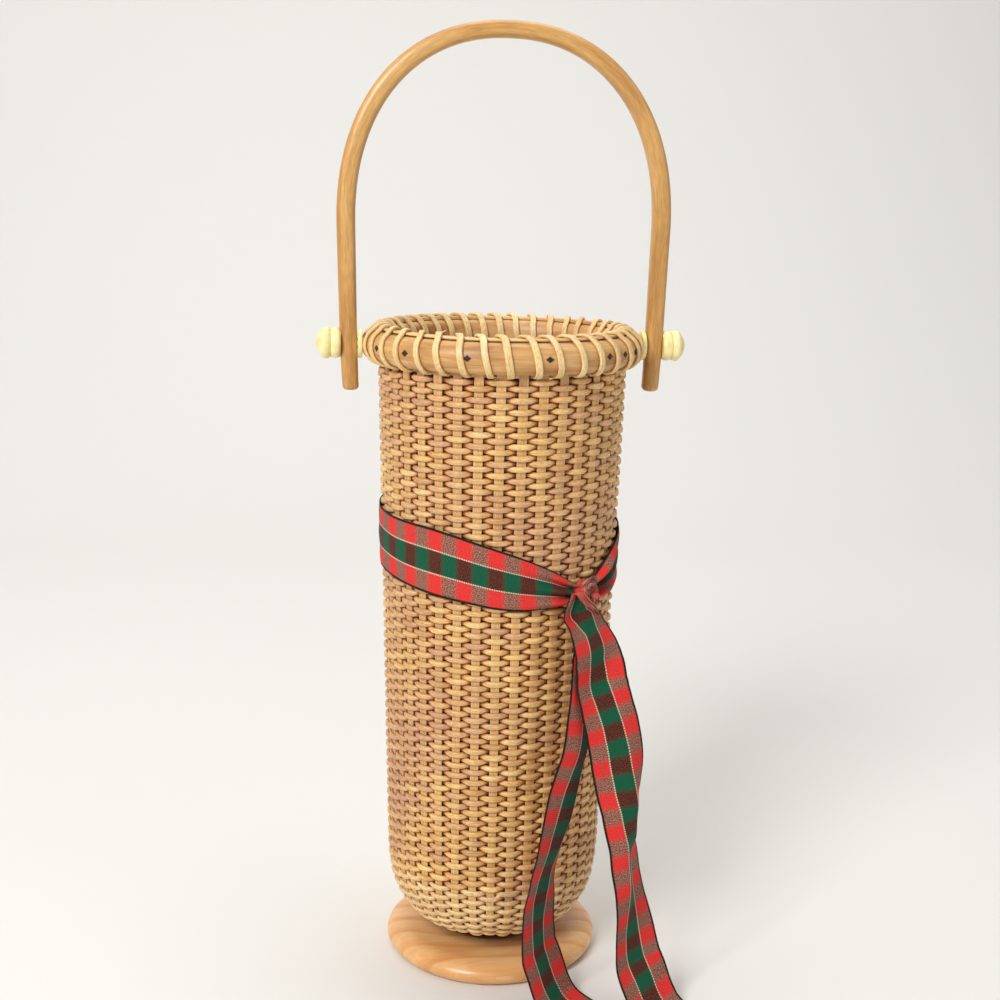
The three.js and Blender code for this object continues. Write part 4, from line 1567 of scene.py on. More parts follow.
@dataclass
class Pivot:
    """One of the two pivots: the turned peg, the washer and the cap inside the rim."""

    finishes: Finishes
    side: int
    facets: int = 48
    shank: float = 2 * MM
    neck: float = 5.4 * MM
    boss: float = 0.5 * MM
    bead: float = 6.2 * MM
    bead_length: float = 3.95 * MM
    bead_gap: float = 0.2 * MM
    ball: float = 6.35 * MM
    ball_length: float = 6.1 * MM
    ball_round: float = 1.9 * MM
    bevel: float = 0.3 * MM
    clearance: float = 0.3 * MM  # of a disc's hole round the shank
    # The ball's cone: shares of its radius, and millimetres from its start.
    tip_outline: tuple[tuple[float, float], ...] = (
        (0.93, 3.0), (0.86, 3.5), (0.77, 4.05), (0.65, 4.55), (0.5, 5.05), (0.34, 5.45), (0.17, 5.8),
    )

    def place(self, piece: Piece, height: float) -> None:
        """Lays a piece that was turned about Z along the pivot axis, and applies it.

        Args:
            piece: The piece.
            height: Height of the pivot axis.
        """
        piece.rotation_euler = (0, self.side * math.pi / 2, 0)
        piece.location = (0, 0, height)
        apply_place(piece)
        face_outwards(piece)

    def build(self) -> None:
        """Turns the three pieces of bone."""
        name = "right" if self.side > 0 else "left"
        low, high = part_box(f"peg_{name}")
        height = (low.z + high.z) / 2
        inner, tip = sorted((abs(low.x), abs(high.x)))
        ball_start = tip - self.ball_length
        bead_start = ball_start - self.bead_length
        bead_middle = (bead_start + self.bead_gap + ball_start) / 2
        bead_rise = (self.bead_length - self.bead_gap) / 2
        ball_round = self.ball_round
        peg = turn_piece(f"turned_peg_{name}", [
            (0.0, inner),
            (self.shank, inner),
            (self.shank, bead_start),
            (self.neck, bead_start),
            *arc((self.neck, bead_middle), self.bead - self.neck, bead_rise, -90, 90, 8),
            *arc((self.neck, ball_start + ball_round), self.ball - self.neck, ball_round, -90, 20, 8),
            *((share * self.ball, ball_start + rise * MM) for share, rise in self.tip_outline),
            (0.0, tip),
        ], self.facets)
        self.place(peg, height)
        smooth(peg, 50)
        dress(peg, self.finishes.bone, Slot.BONE, f"peg_{name}")
        self.disc(f"thin_washer_{name}", f"washer_{name}", height, self.boss)
        self.disc(f"inner_cap_{name}", f"peg_cap_{name}", height, 0.0)

    def disc(self, name: str, node: str, height: float, boss: float) -> None:
        """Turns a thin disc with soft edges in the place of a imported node.

        Args:
            name: The piece's name.
            node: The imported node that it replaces.
            height: Height of the pivot axis.
            boss: How far the disc stands in towards the basket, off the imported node.
        """
        low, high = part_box(node)
        start, end = sorted((abs(low.x), abs(high.x)))
        start -= boss
        radius, hole = (high.z - low.z) / 2, self.shank + self.clearance
        outline = [
            (hole, start),
            *arc((radius - self.bevel, start + self.bevel), self.bevel, self.bevel, -90, 0, 3),
            *arc((radius - self.bevel, end - self.bevel), self.bevel, self.bevel, 0, 90, 3),
            (hole, end),
            (hole, start),
        ]
        disc = turn_piece(name, outline, self.facets)
        self.place(disc, height)
        smooth(disc)
        dress(disc, self.finishes.bone, Slot.BONE, node)


# Handle


@dataclass
class Handle:
    """The bent wood handle: two straight legs and a full round arch, in one bar."""

    finishes: Finishes
    pivot_width: float = 6.9 * MM
    end_width: float = 6.5 * MM
    arch_width: float = 7.4 * MM
    top_width: float = 6.6 * MM
    corner: float = 3.0 * MM
    leg_inside: float = 58.45 * MM
    pivot_height: float = 259.8 * MM
    arch_height: float = 307.8 * MM
    toe: float = 0.6 * MM
    flare: float = 0.8 * MM
    fullness: float = 2.2
    arch_steps: int = 72
    leg_steps: int = 6
    end_round: float = 1.6 * MM

    def edges(self) -> list[tuple[Vector, Vector]]:
        """Lays out the inner and outer edge of the bar, from the right leg's end to the left one's.

        Returns:
            Pairs of an inner and an outer point.
        """
        low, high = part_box("handle")
        right = []
        legs = (
            (low.z, self.leg_inside - self.toe, self.end_width),
            (self.pivot_height, self.leg_inside, self.pivot_width),
            (self.arch_height, self.leg_inside + self.flare, self.arch_width),
        )
        for before, after in pairwise(legs):
            for step in range(self.leg_steps):
                share = step / self.leg_steps
                height, inside, width = (a + (b - a) * share for a, b in zip(before, after))
                right.append((Vector((inside, 0, height)), Vector((inside + width, 0, height))))
        left = [(Vector((-a.x, 0, a.z)), Vector((-b.x, 0, b.z))) for a, b in reversed(right)]
        inside = self.leg_inside + self.flare
        rise = high.z - self.arch_height
        arch = []
        for step in range(self.arch_steps + 1):
            turn = math.pi * step / self.arch_steps
            arch.append((
                self.on_arch(inside, rise - self.top_width, turn),
                self.on_arch(inside + self.arch_width, rise, turn),
            ))
        return [*right, *arch, *left]

    def on_arch(self, reach: float, rise: float, turn: float) -> Vector:
        """Gives a point of the arch's outline.

        Args:
            reach: How far to the side the outline goes.
            rise: How far up it goes.
            turn: Turn from the right leg, in radians.

        Returns:
            The point.
        """
        power = 2 / self.fullness
        along = math.copysign(abs(math.cos(turn)) ** power, math.cos(turn))
        return Vector((reach * along, 0, self.arch_height + rise * abs(math.sin(turn)) ** power))

    def build(self) -> None:
        """Bends the bar, rounds its two ends and dresses it."""
        low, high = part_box("handle")
        depth = high.y - low.y
        section = rounded_section(1.0, 1.0, self.corner / depth, 4)
        edges = self.edges()
        stations = []
        along = 0.0
        for number, (inner, outer) in enumerate(edges):
            middle = (inner + outer) / 2
            if number:
                along += (middle - stations[-1].place).length
            wide = (outer - inner).normalized()
            stations.append(Station(middle, wide, Vector((0, 1, 0)), along, (outer - inner).length, depth))
        ends = (self.rounded_end(stations[0], -1), self.rounded_end(stations[-1], 1))
        stations = [*reversed(ends[0]), *stations[1:-1], *ends[1]]
        bar = sweep("bent_wood_handle", section, stations)
        smooth(bar, 50)
        self.lay_bar_grain(bar, depth)
        dress(bar, self.finishes.handle, Slot.HANDLE, "handle", body=Body.HANDLE)

    def rounded_end(self, end: Station, way: int) -> list[Station]:
        """Gives the stations of a softly rounded end.

        Args:
            end: The station at the bar's very end.
            way: 1 at the end that the bar is swept to, and -1 at its start.

        Returns:
            Stations from just inside the end to its face.
        """
        rounds = []
        for turn in (0.0, 30.0, 60.0, 90.0):
            rise = self.end_round * (1 - math.sin(math.radians(turn)))
            inset = self.end_round * (1 - math.cos(math.radians(turn)))
            rounds.append(Station(
                end.place + Vector((0, 0, rise)), end.wide, end.out, end.along - way * rise,
                end.width_share - 2 * inset, end.depth_share - 2 * inset,
            ))
        return rounds

    def lay_bar_grain(self, bar: Piece, depth: float) -> None:
        """Turns the section's shares in the grain into real sizes.

        Args:
            bar: The swept bar.
            depth: Its thickness.
        """
        grain = np.empty(len(bar.data.vertices) * 3, np.float32)
        bar.data.attributes[GRAIN].data.foreach_get("vector", grain)
        lay_attribute(bar, GRAIN, grain.reshape(-1, 3) * np.array([self.arch_width, depth, 1.0]))


# Ribbon


@dataclass(frozen=True)
class TailRow:
    """One place along a hanging tail, and how its three rows of check turn there.

    Attributes:
        drop_share: How far down it lies, of the way from the knot to the ground.
        sway_share: How far along X, of the tail's sway.
        reach_share: How far forwards, of the tail's reach.
        left: Direction in plan of the left row's width, in degrees from +X towards the wall.
        middle: The same of the middle row.
        right: The same of the right row.
        gather: Share of the width that fine pleats leave.
    """

    drop_share: float
    sway_share: float
    reach_share: float
    left: float
    middle: float
    right: float
    gather: float = 1.0


@dataclass(frozen=True)
class Tail:
    """One hanging tail of the ribbon, cut square across its end.

    Attributes:
        name: The piece's name.
        node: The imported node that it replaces.
        off: How far off the wall it leaves the knot.
        sway: How far along X it goes.
        reach: How far forwards it goes.
        rows: Its places and turns.
        phase: Where its checks start, along the ribbon.
        ground: Height of its middle where it lies on the ground.
    """

    name: str
    node: str
    off: float
    sway: float
    reach: float
    rows: Sequence[TailRow]
    phase: float
    ground: float = 0.3 * MM

    def smooth_rows(self, start: Vector, steps: int) -> Array:
        """Gives smooth rows between the rows of the table, one for each step.

        Args:
            start: Where it leaves the knot.
            steps: Number of rows.

        Returns:
            Rows of x, y, z, the three directions and the gather.
        """
        table = np.array([
            (
                start.x + self.sway * row.sway_share,
                start.y - self.reach * row.reach_share,
                start.z + (self.ground - start.z) * row.drop_share,
                row.left,
                row.middle,
                row.right,
                row.gather,
            )
            for row in self.rows
        ])
        runs = runs_along(table[:, :3])
        places = np.linspace(0.0, runs[-1], steps)
        return np.stack([hermite(runs, column, places) for column in table.T], 1)


def hermite(knots: Array, values: Array, places: Array) -> Array:
    """Runs a smooth curve through values that never overshoots them.

    Args:
        knots: Rising places of the values.
        values: The values there.
        places: Where the curve is wanted.

    Returns:
        The curve's values at those places.
    """
    steps = np.diff(knots)
    slopes = np.diff(values) / steps
    before, after = slopes[:-1], slopes[1:]
    total = np.where(before + after == 0, 1, before + after)
    inner = np.where(before * after > 0, 2 * before * after / total, 0)
    ends = np.concatenate([[slopes[0]], inner, [slopes[-1]]])
    spot = np.clip(np.searchsorted(knots, places, side="right") - 1, 0, len(steps) - 1)
    width = steps[spot]
    share = (places - knots[spot]) / width
    return (
        (2 * share**3 - 3 * share**2 + 1) * values[spot]
        + (share**3 - 2 * share**2 + share) * width * ends[spot]
        + (3 * share**2 - 2 * share**3) * values[spot + 1]
        + (share**3 - share**2) * width * ends[spot + 1]
    )


@dataclass(frozen=True)
class Bunch:
    """One creased lump of cloth in the knot, in millimetres to the right, up and off the wall.

    Attributes:
        name: The piece's name.
        place: Its middle, from the knot's middle.
        sizes: Its half sizes.
        creases: Creases round it.
        phase: Where its checks start, along the ribbon, in metres.
        nodes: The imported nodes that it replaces.
    """

    name: str
    place: Triple
    sizes: Triple
    creases: int
    phase: float = 0.0
    nodes: tuple[str, ...] = ()


@dataclass(frozen=True)
class Strap:
    """One narrow folded length of ribbon on the knot, measured from the knot's place in millimetres.

    Attributes:
        name: The piece's name.
        route: Its middle: right, up and off the wall.
        widths: Its folded width at its start and at its end.
        phase: Where its checks start, along the ribbon.
        bow: How far its middle bows off the straight line between its ends.
        folds: Folds across it.
        fold_depth: Half the depth of a fold.
        check_share: Length of its checks, of those of flat ribbon, as its twist shows them.
    """

    name: str
    route: Sequence[Triple]
    widths: tuple[float, float]
    phase: float
    bow: float = 1.0
    folds: float = 1.5
    fold_depth: float = 0.25
    check_share: float = 2.8


@dataclass
class Ribbon:
    """A check ribbon tied round the body: its band, its knot and its two tails."""

    wall: Wall
    finishes: Finishes
    width: float = 25.4 * MM
    thickness: float = 0.25 * MM
    lift: float = 0.45 * MM
    across_steps: int = 48
    knot_turn: float = 34.0  # degrees from the front towards +X
    knot_height: float = 167 * MM
    band_steps: int = 240
    band_phase: float = 6.8 * MM
    full_gather: float = 0.45  # share of the band's width lost where its pleats are deepest
    ripple: float = 0.2 * MM
    crease_share: float = 0.354  # of half the width, where a cream thread runs
    crease_width: float = 0.24  # of half the width, over which a row turns
    fold_depth: float = 4.2 * MM  # of a pleat pressed flat, a sixth of the width
    pleat_depth: float = 0.9 * MM
    pleats: int = 5
    knot_row: float = 8 * MM  # from the ribbon's middle to the red that shows on the knot
    strap_grain: float = 2.6 * MM  # half the width of ribbon that shows on a strap of the knot
    strap_sag: float = 0.35  # of a strap's edges, of half its width
    strap_steps: int = 40
    lump_twist: float = 0.9  # radians from the front of a lump to its middle
    lump_crease: float = 0.12
    lump_ripple: float = 0.05
    lump_check: float = 0.35
    tail_steps: int = 200

    # Rows of the band: degrees from the front, lower edge and upper edge above the ground.
    band_rows: tuple[Triple, ...] = (
        (33.0, 163.4, 170.0),
        (42.0, 163.4, 172.6),
        (58.0, 163.6, 179.6),
        (76.0, 163.4, 185.6),
        (110.0, 165.8, 190.8),
        (150.0, 168.2, 193.4),
        (190.0, 169.4, 194.6),
        (230.0, 170.0, 195.2),
        (278.0, 169.8, 194.6),
        (298.0, 168.4, 193.8),
        (318.0, 166.6, 193.2),
        (331.0, 165.3, 191.6),
        (342.0, 164.1, 189.2),
        (353.0, 162.7, 186.4),
        (365.0, 162.1, 182.8),
        (378.0, 162.3, 177.6),
        (386.0, 163.0, 173.4),
        (392.5, 164.4, 170.6),
    )

    def cloth(
        self, name: str, length: float, along_steps: int, phase: float = 0.0
    ) -> tuple[Piece, Array]:
        """Cuts a flat strip of ribbon and lays its grain.

        Args:
            name: The piece's name.
            length: Its length.
            along_steps: Steps along it.
            phase: Where its checks start, along the ribbon.

        Returns:
            The piece, and each vertex's share across (-1 to 1) and along (0 to 1).
        """
        deselect()
        bpy.ops.mesh.primitive_grid_add(x_subdivisions=self.across_steps, y_subdivisions=along_steps, size=2)
        piece = name_piece(name)
        flat = vertices_of(piece)
        shares = np.stack([flat[:, 0], (flat[:, 1] + 1) / 2], 1)
        along = shares[:, 1] * length + phase
        grain = np.stack([shares[:, 0] * self.width / 2, np.zeros(len(flat)), along], 1)
        lay_attribute(piece, GRAIN, grain)
        return piece, shares

    def finish_cloth(self, piece: Piece, *nodes: str) -> Piece:
        """Gives a shaped strip its thickness, its shading and its dress.

        Args:
            piece: The strip.
            nodes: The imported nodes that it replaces.

        Returns:
            The strip.
        """
        finish_modifier(piece, "SOLIDIFY", thickness=self.thickness, offset=0.0)
        face_outwards(piece)
        smooth(piece, 60)
        return dress(piece, self.finishes.ribbon, Slot.RIBBON, *nodes)

    def band(self) -> tuple[Piece, float]:
        """Lays the band round the wall and gathers it into the knot from both sides.

        Returns:
            The piece and its length.
        """
        rows = np.array(self.band_rows)
        turns, lows, highs = rows[:, 0], rows[:, 1] * MM, rows[:, 2] * MM
        radius = self.wall.outer_radius(float(lows.mean()))
        length = math.radians(turns[-1] - turns[0]) * radius
        band, shares = self.cloth("ribbon_band_cloth", length, self.band_steps, self.band_phase)
        turn = turns[0] + (turns[-1] - turns[0]) * shares[:, 1]
        low, high = hermite(turns, lows, turn), hermite(turns, highs, turn)
        height = low + (high - low) * (shares[:, 0] + 1) / 2
        kept = np.clip((high - low) / self.width, 0.0, 1.0)
        gather = np.clip((1 - kept) / self.full_gather, 0.0, 1.0)
        depth = self.fold_depth * np.sqrt(1 - kept**2) * (0.25 + 0.75 * gather * gather)
        ridge = 0.5 + 0.5 * np.cos(math.pi * shares[:, 0] / self.crease_share + 0.5 * np.sin(turn / 7.0))
        ripple = self.ripple * (1 + np.sin(turn / 9.0 + 3 * shares[:, 0]) * np.sin(turn / 23.0))
        lift = self.lift + ripple + depth * ridge
        out = self.wall.outer_radius(height) + lift
        angle = np.radians(turn - 90)
        move_vertices(band, np.stack([out * np.cos(angle), out * np.sin(angle), height], 1))
        flat_length = math.radians(turns[-1] - turns[0]) * self.wall.outer_radius(self.knot_height)
        return self.finish_cloth(band, "ribbon_band"), flat_length

    def tail(self, tail: Tail) -> tuple[Piece, float]:
        """Hangs one tail, whose rows of check turn each their own way without stretching.

        Args:
            tail: The tail's path and turns.

        Returns:
            The piece and its length.
        """
        start = Vector(self.at_knot(np.array([0.0, 0.0, tail.off])))
        start.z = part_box("ribbon_tail_right")[1].z  # both leave the knot at this height
        rows = tail.smooth_rows(start, self.tail_steps + 1)
        centre = rows[:, :3]
        length = float(np.linalg.norm(np.diff(centre, axis=0), axis=1).sum())
        piece, shares = self.cloth(tail.name, length, self.tail_steps, tail.phase)
        along = unit(np.gradient(centre, axis=0))
        heading = np.radians(rows[:, 4])
        wide = np.stack([np.cos(heading), np.sin(heading), np.zeros(len(heading))], 1)
        wide = unit(wide - along * (wide * along).sum(1)[:, None])
        normal = np.cross(along, wide)
        columns = np.linspace(-1.0, 1.0, self.across_steps + 1)
        sections = self.folded_sections(columns, rows[:, 4] - rows[:, 3], rows[:, 4] - rows[:, 5])
        sections *= rows[:, 6, None, None]
        pleats = np.cos(self.pleats * math.pi * columns)
        sections[:, :, 1] += (1 - rows[:, 6, None]) * self.pleat_depth * pleats
        offsets = (
            wide[:, None, :] * sections[:, :, 0, None] + normal[:, None, :] * sections[:, :, 1, None]
        )
        middle = (offsets.max(axis=1) + offsets.min(axis=1)) / 2
        middle[:, 2] = 0.0
        places = centre[:, None, :] + offsets - middle[:, None, :]
        row = np.round(shares[:, 1] * self.tail_steps).astype(int)
        column = np.round((shares[:, 0] + 1) / 2 * self.across_steps).astype(int)
        chosen = places[row, column]
        chosen[:, 2] = np.maximum(chosen[:, 2], self.thickness)
        move_vertices(piece, chosen)
        return self.finish_cloth(piece, tail.node), length

    def folded_sections(self, columns: Array, left: Array, right: Array) -> Array:
        """Turns the outer rows of check against the middle one, keeping the ribbon's width.

        Args:
            columns: Shares across, from -1 to 1.
            left: Turn of the left row at each place along the tail, in degrees.
            right: Turn of the right row there, in degrees.

        Returns:
            Offsets by place, column and axis: along the width and along the normal.
        """
        middle = (columns[1:] + columns[:-1]) / 2
        step = np.diff(columns) * self.width / 2
        bend = ease(np.clip((np.abs(middle) - self.crease_share) / self.crease_width + 0.5, 0.0, 1.0))
        turn = np.radians(np.where(middle > 0, right[:, None], left[:, None])) * bend
        runs = np.stack([np.cos(turn) * step, np.sin(turn) * step], -1)
        return np.concatenate([np.zeros((len(left), 1, 2)), np.cumsum(runs, axis=1)], axis=1)

    def at_knot(self, offsets: Array) -> Array:
        """Turns offsets from the knot's middle into places.

        Args:
            offsets: How far to the right, up and off the wall, on the last axis.

        Returns:
            The places.
        """
        angle = math.radians(self.knot_turn - 90)
        right = (-math.sin(angle), math.cos(angle), 0)
        out = (math.cos(angle), math.sin(angle), 0)
        middle = self.wall.outer_radius(self.knot_height) * np.array(out) + (0, 0, self.knot_height)
        return offsets @ np.array([right, (0, 0, 1), out]) + middle

    def knot(self) -> list[Piece]:
        """Ties the knot: a bunched core, two folds beside it, the strap across it, loops and a point."""
        lumps = [self.bunch(bunch) for bunch in KNOT_BUNCHES]
        return lumps + [self.strap(strap) for strap in KNOT_STRAPS]

    def bunch(self, bunch: Bunch) -> Piece:
        """Bunches cloth into a creased lump.

        Args:
            bunch: Its place and sizes.

        Returns:
            The piece.
        """
        deselect()
        bpy.ops.mesh.primitive_uv_sphere_add(segments=64, ring_count=40, radius=1)
        lump = name_piece(bunch.name)
        ball = vertices_of(lump)
        turn = np.arctan2(ball[:, 2], ball[:, 0])
        swirl = bunch.creases * (turn + self.lump_twist * ball[:, 1])
        crease = 1 + self.lump_crease * np.abs(np.sin(swirl / 2)) - self.lump_ripple * np.cos(2 * swirl + 1)
        offsets = np.array(bunch.place) + ball[:, [0, 2, 1]] * np.array(bunch.sizes) * crease[:, None]
        move_vertices(lump, self.at_knot(offsets * MM))
        wrapped = bunch.phase + self.lump_check * turn * bunch.sizes[1] * MM
        grain = np.stack([self.knot_row + ball[:, 1] * self.strap_grain, ball[:, 0] * MM, wrapped], 1)
        lay_attribute(lump, GRAIN, grain)
        make_active(lump)
        bpy.ops.object.shade_smooth()
        return dress(lump, self.finishes.ribbon, Slot.RIBBON, *bunch.nodes)

    def strap(self, strap: Strap) -> Piece:
        """Lays one narrow folded length of ribbon over the knot.

        Args:
            strap: Its route and widths.

        Returns:
            The piece.
        """
        table = np.array(strap.route) * MM
        runs = runs_along(table)
        piece, shares = self.cloth(strap.name, float(runs[-1]), self.strap_steps)
        row_middle = self.width / 2 * (1 + self.crease_share) / 2
        across = row_middle + self.strap_grain * shares[:, 0]
        run = strap.phase * MM + shares[:, 1] * runs[-1] / strap.check_share
        lay_attribute(piece, GRAIN, np.stack([across, np.zeros(len(across)), run], 1))
        along = np.linspace(0.0, runs[-1], self.strap_steps + 1)
        line = np.stack([hermite(runs, column, along) for column in table.T], 1)
        way = unit(np.gradient(line[:, :2], axis=0))
        row = np.round(shares[:, 1] * self.strap_steps).astype(int)
        side = np.stack([way[row, 1], -way[row, 0]], 1)
        start_width, end_width = strap.widths
        half = (start_width + (end_width - start_width) * shares[:, 1] ** 2) / 2 * MM
        flat = line[row, :2] + side * (shares[:, 0] * half)[:, None]
        crest = np.cos(math.tau * strap.folds * shares[:, 0])
        fold = strap.fold_depth * MM * crest - self.strap_sag * half * shares[:, 0] ** 2
        height = line[row, 2] + strap.bow * MM * np.sin(math.pi * shares[:, 1]) + fold
        move_vertices(piece, self.at_knot(np.column_stack([flat, height])))
        return self.finish_cloth(piece)

    def build(self) -> None:
        band, length = self.band()
        self.knot()
        for tail in TAILS:
            piece, length = self.tail(tail)


KNOT_BUNCHES = (
    Bunch("ribbon_knot_core", (0.2, 0.6, 3.2), (4.7, 4.7, 2.8), 7, nodes=("ribbon_knot",)),
    Bunch("ribbon_knot_wrap", (-1.8, 2.2, 5.6), (2.3, 2.4, 1.9), 5, 0.5 * MM),
    Bunch("ribbon_knot_side", (3.9, 1.0, 4.7), (1.7, 2.7, 1.7), 4, 1.2 * MM),
)

KNOT_STRAPS = (
    Strap(
        "ribbon_knot_strap",
        ((-4.8, 2.2, 5.6), (-4.5, 1.1, 7.4), (-3.2, -1.2, 8.6), (0.7, -4.9, 9.1), (3.5, -8.2, 8.6)),
        (3.5, 0.9), 9.0, bow=0.3, fold_depth=0.3, check_share=9.0,
    ),
    Strap(
        "ribbon_knot_loop",
        ((-3.4, 3.4, 5.2), (-1.5, 6.2, 6.3), (1.2, 7.0, 6.6), (3.6, 5.6, 6.0), (4.6, 3.2, 4.8)),
        (1.8, 2.0), 9.5, fold_depth=0.3, check_share=6.0,
    ),
    Strap(
        "ribbon_knot_inner_loop", ((-1.8, 3.0, 6.6), (-0.2, 4.8, 7.2), (1.6, 4.9, 7.0), (3.0, 3.0, 6.2)),
        (1.6, 1.8), 12.0, folds=0.5,
    ),
    Strap(
        "ribbon_knot_point", ((2.6, 0.8, 6.4), (3.0, -1.2, 7.0), (3.4, -3.4, 6.4)),
        (3.6, 0.5), 8.9, folds=1.0, check_share=6.0,
    ),
)

RIGHT_ROWS = tuple(TailRow(*row) for row in (
    (-0.049, -0.105, -0.02, 60, 36, 60, 0.42),
    (-0.025, -0.106, 0, 62, 26, 62, 0.66),
    (-0.008, -0.102, 0.015, 64, 18, 64, 0.86),
    (0.01, -0.088, 0.03, 63, 15, 66),
    (0.033, -0.05, 0.05, 55, 32, 60),
    (0.058, -0.014, 0.068, 38, 50, 52),
    (0.083, 0.019, 0.085, 33, 46, 46),
    (0.107, 0.048, 0.1, 33, 43, 35),
    (0.13, 0.068, 0.112, 37, 43, 15),
    (0.155, 0.087, 0.125, 42, 35, 4),
    (0.18, 0.097, 0.137, 43, 27, 7),
    (0.205, 0.112, 0.148, 42, 21, 18),
    (0.23, 0.131, 0.159, 35, 22, 23),
    (0.255, 0.15, 0.17, 28, 23, 26),
    (0.305, 0.191, 0.19, 20, 18, 32),
    (0.365, 0.226, 0.215, 16, 11, 43),
    (0.43, 0.24, 0.235, 14, 9, 69),
    (0.49, 0.246, 0.255, 11, 33, 90),
    (0.555, 0.27, 0.28, 11, 56, 88),
    (0.61, 0.3, 0.3, 17, 78, 60),
    (0.655, 0.325, 0.32, 26, 79, 56),
    (0.71, 0.355, 0.34, 39, 70, 50),
    (0.745, 0.375, 0.355, 47, 59, 43),
    (0.81, 0.405, 0.38, 51, 42, 30),
    (0.875, 0.436, 0.407, 46, 32, 26),
    (0.94, 0.507, 0.44, 37, 33, 28),
    (0.985, 0.595, 0.52, 35, 34, 30),
    (1, 0.72, 0.66, 34, 34, 32),
    (1, 0.99, 1, 35, 35, 35),
))

LEFT_ROWS = tuple(TailRow(*row) for row in (
    (-0.02, 0, 0, 58, 30, 58, 0.3),
    (0.05, 0, 0.06, 56, 36, 62, 0.45),
    (0.1, 0.03, 0.1, 50, 48, 68, 0.66),
    (0.19, 0.08, 0.18, 39, 60, 80, 0.92),
    (0.25, 0.135, 0.22, 30, 59, 86),
    (0.31, 0.205, 0.245, 25, 57, 90),
    (0.375, 0.375, 0.26, 27, 51, 91),
    (0.435, 0.51, 0.276, 32, 42, 90),
    (0.5, 0.625, 0.293, 39, 39, 88),
    (0.565, 0.73, 0.307, 46, 46, 74),
    (0.63, 0.89, 0.322, 52, 51, 68),
    (0.67, 0.955, 0.333, 57, 48, 67),
    (0.72, 1.01, 0.35, 55, 46, 58),
    (0.785, 1.03, 0.372, 53, 53, 50),
    (0.85, 1, 0.398, 50, 54, 47),
    (0.917, 0.81, 0.435, 51, 54, 41),
    (0.97, 0.61, 0.475, 51, 52, 44),
    (0.995, 0.33, 0.572, 48, 49, 46),
    (1, 0.02, 0.689, 47, 47, 47),
    (1, -0.74, 1, 47, 47, 47),
))

TAILS = (
    Tail(
        "ribbon_tail_right_cloth", "ribbon_tail_right",
        off=7.4 * MM, sway=47.7 * MM, reach=48 * MM, rows=RIGHT_ROWS, phase=7.8 * MM,
    ),
    Tail(
        "ribbon_tail_left_cloth", "ribbon_tail_left",
        off=3.4 * MM, sway=-16 * MM, reach=37.4 * MM, rows=LEFT_ROWS, phase=8.0 * MM,
    ),
)


# Studio


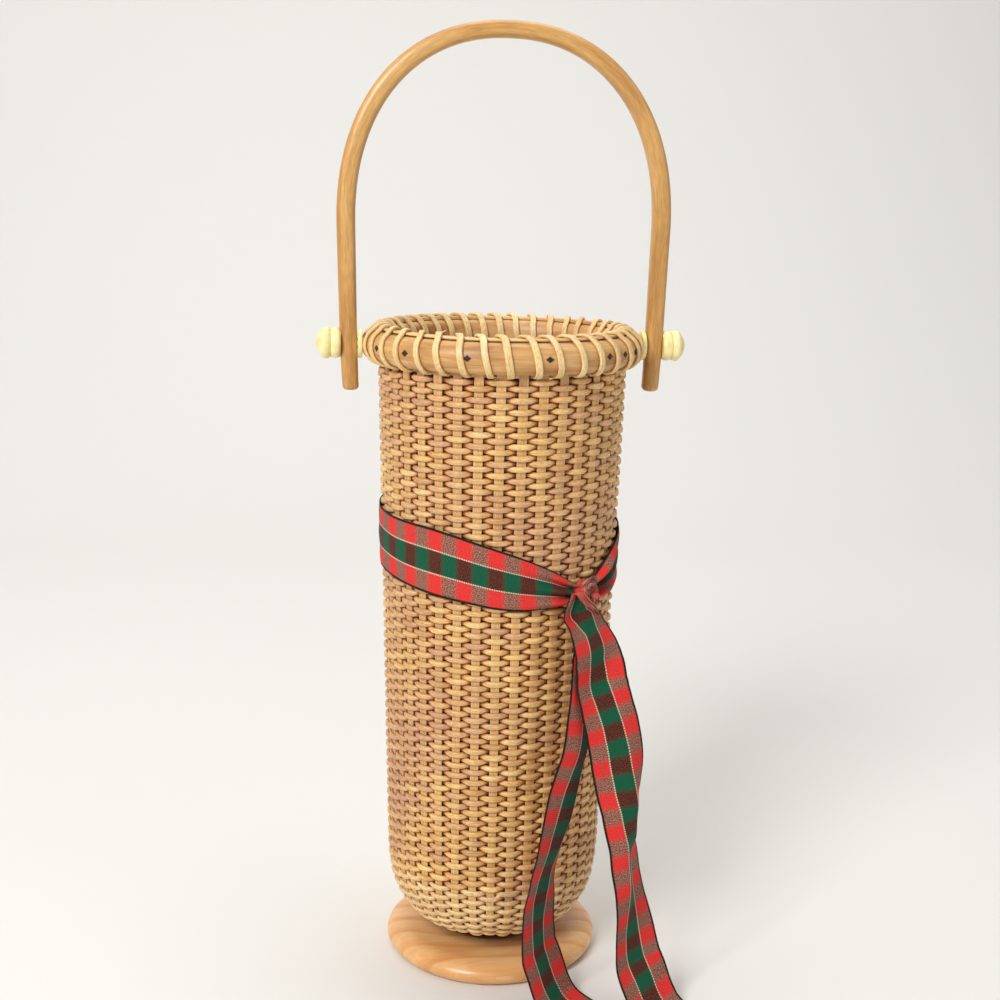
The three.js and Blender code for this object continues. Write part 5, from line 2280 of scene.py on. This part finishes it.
@dataclass
class Studio:
    """The pale floor and backdrop, the soft lamps and the camera."""

    focal_share: float = 1.45  # focal length, of the picture's width
    sensor: float = 36.0  # millimetres
    camera_distance: float = 585 * MM
    camera_height: float = 320.98 * MM
    camera_aside: float = 0.227 * MM
    pitch: float = 12.108
    azimuth: float = -7.0
    roll: float = 1.237
    paper_reach: float = 3.0
    cove_start: float = 0.7
    cove_radius: float = 0.6
    cove_steps: int = 24
    sky: str = "#F2F2F0"
    sky_strength: float = 0.34

    # The lamps: name, place, side, watts, height that it faces and how far behind the basket it faces.
    lamps: tuple[tuple[str, Triple, float, float, float, float], ...] = (
        ("key_lamp", (-0.8, -1.0, 1.05), 0.6, 18.9, 0.16, 0.0),
        ("fill_lamp", (1.2, -0.8, 0.6), 1.0, 2.8, 0.16, 0.0),
        ("top_lamp", (0.1, 0.35, 1.5), 0.9, 3.0, 0.16, 0.0),
        ("paper_lamp", (0.0, 0.5, 1.9), 1.6, 15.0, 0.4, 1.6),
    )

    def camera(self) -> None:
        """Puts the camera where the photograph was taken from."""
        bpy.ops.object.camera_add()
        camera = bpy.context.object
        camera.name = "photo_camera"
        camera.data.sensor_width = self.sensor
        camera.data.lens = self.sensor * self.focal_share
        camera.data.clip_start = 0.01
        turn = Matrix.Rotation(math.radians(self.azimuth), 4, "Z")
        place = Matrix.Translation((self.camera_aside, -self.camera_distance, self.camera_height))
        tilt = Matrix.Rotation(math.radians(90 - self.pitch), 4, "X")
        spin = Matrix.Rotation(math.radians(self.roll), 4, "Z")
        camera.matrix_world = turn @ place @ tilt @ spin
        bpy.context.scene.camera = camera

    def backdrop(self) -> None:
        """Lays the paper, which curves up behind the basket."""
        reach, radius = self.paper_reach, self.cove_radius
        outline = [
            (-reach, 0.0),
            *arc((self.cove_start, radius), radius, radius, -90, 0, self.cove_steps),
            (self.cove_start + radius, reach),
        ]
        cove = draw_line("studio_cove", [(-reach, y, z) for y, z in outline])
        bpy.ops.mesh.extrude_region_move(TRANSFORM_OT_translate={"value": (2 * reach, 0, 0)})
        face_outwards(cove)
        smooth(cove, 60)
        cove.data.materials.append(Paper().make())

    def build(self) -> None:
        """Sets up the floor, the backdrop, the lamps, the sky and the camera."""
        self.backdrop()
        for name, place, side, watts, aim, aim_back in self.lamps:
            bpy.ops.object.light_add(type="AREA", location=place)
            lamp = bpy.context.object
            lamp.name = name
            lamp.data.shape = "SQUARE"
            lamp.data.size = side
            lamp.data.energy = watts
            aim_at = Vector((0, aim_back, aim)) - Vector(place)
            lamp.rotation_euler = aim_at.to_track_quat("-Z", "Y").to_euler()
        world = bpy.data.worlds.new("studio_sky")
        world.use_nodes = True
        background = world.node_tree.nodes["Background"]
        background.inputs["Color"].default_value = linear(self.sky)
        background.inputs["Strength"].default_value = self.sky_strength
        bpy.context.scene.world = world
        bpy.context.scene.view_settings.view_transform = "Standard"
        self.camera()


def main() -> None:
    """Builds the basket piece by piece."""
    logging.basicConfig(level=logging.INFO, format="%(name)s: %(message)s")
    deselect()
    finishes = Finishes.prepare()
    wall = Wall()
    parts: tuple[tuple[str, Callable[[], None]], ...] = (
        ("foot", Foot(finishes).build),
        ("staves", Staves(wall, finishes).build),
        ("weaving", Weaving(wall, finishes).build),
        ("rim", Rim(finishes).build),
        ("left pivot", Pivot(finishes, -1).build),
        ("right pivot", Pivot(finishes, 1).build),
        ("handle", Handle(finishes).build),
        ("ribbon", Ribbon(wall, finishes).build),
        ("studio", Studio().build),
    )
    for name, build in parts:
        LOG.info("building the %s", name)
        build()


if __name__ == "__main__":
    main()
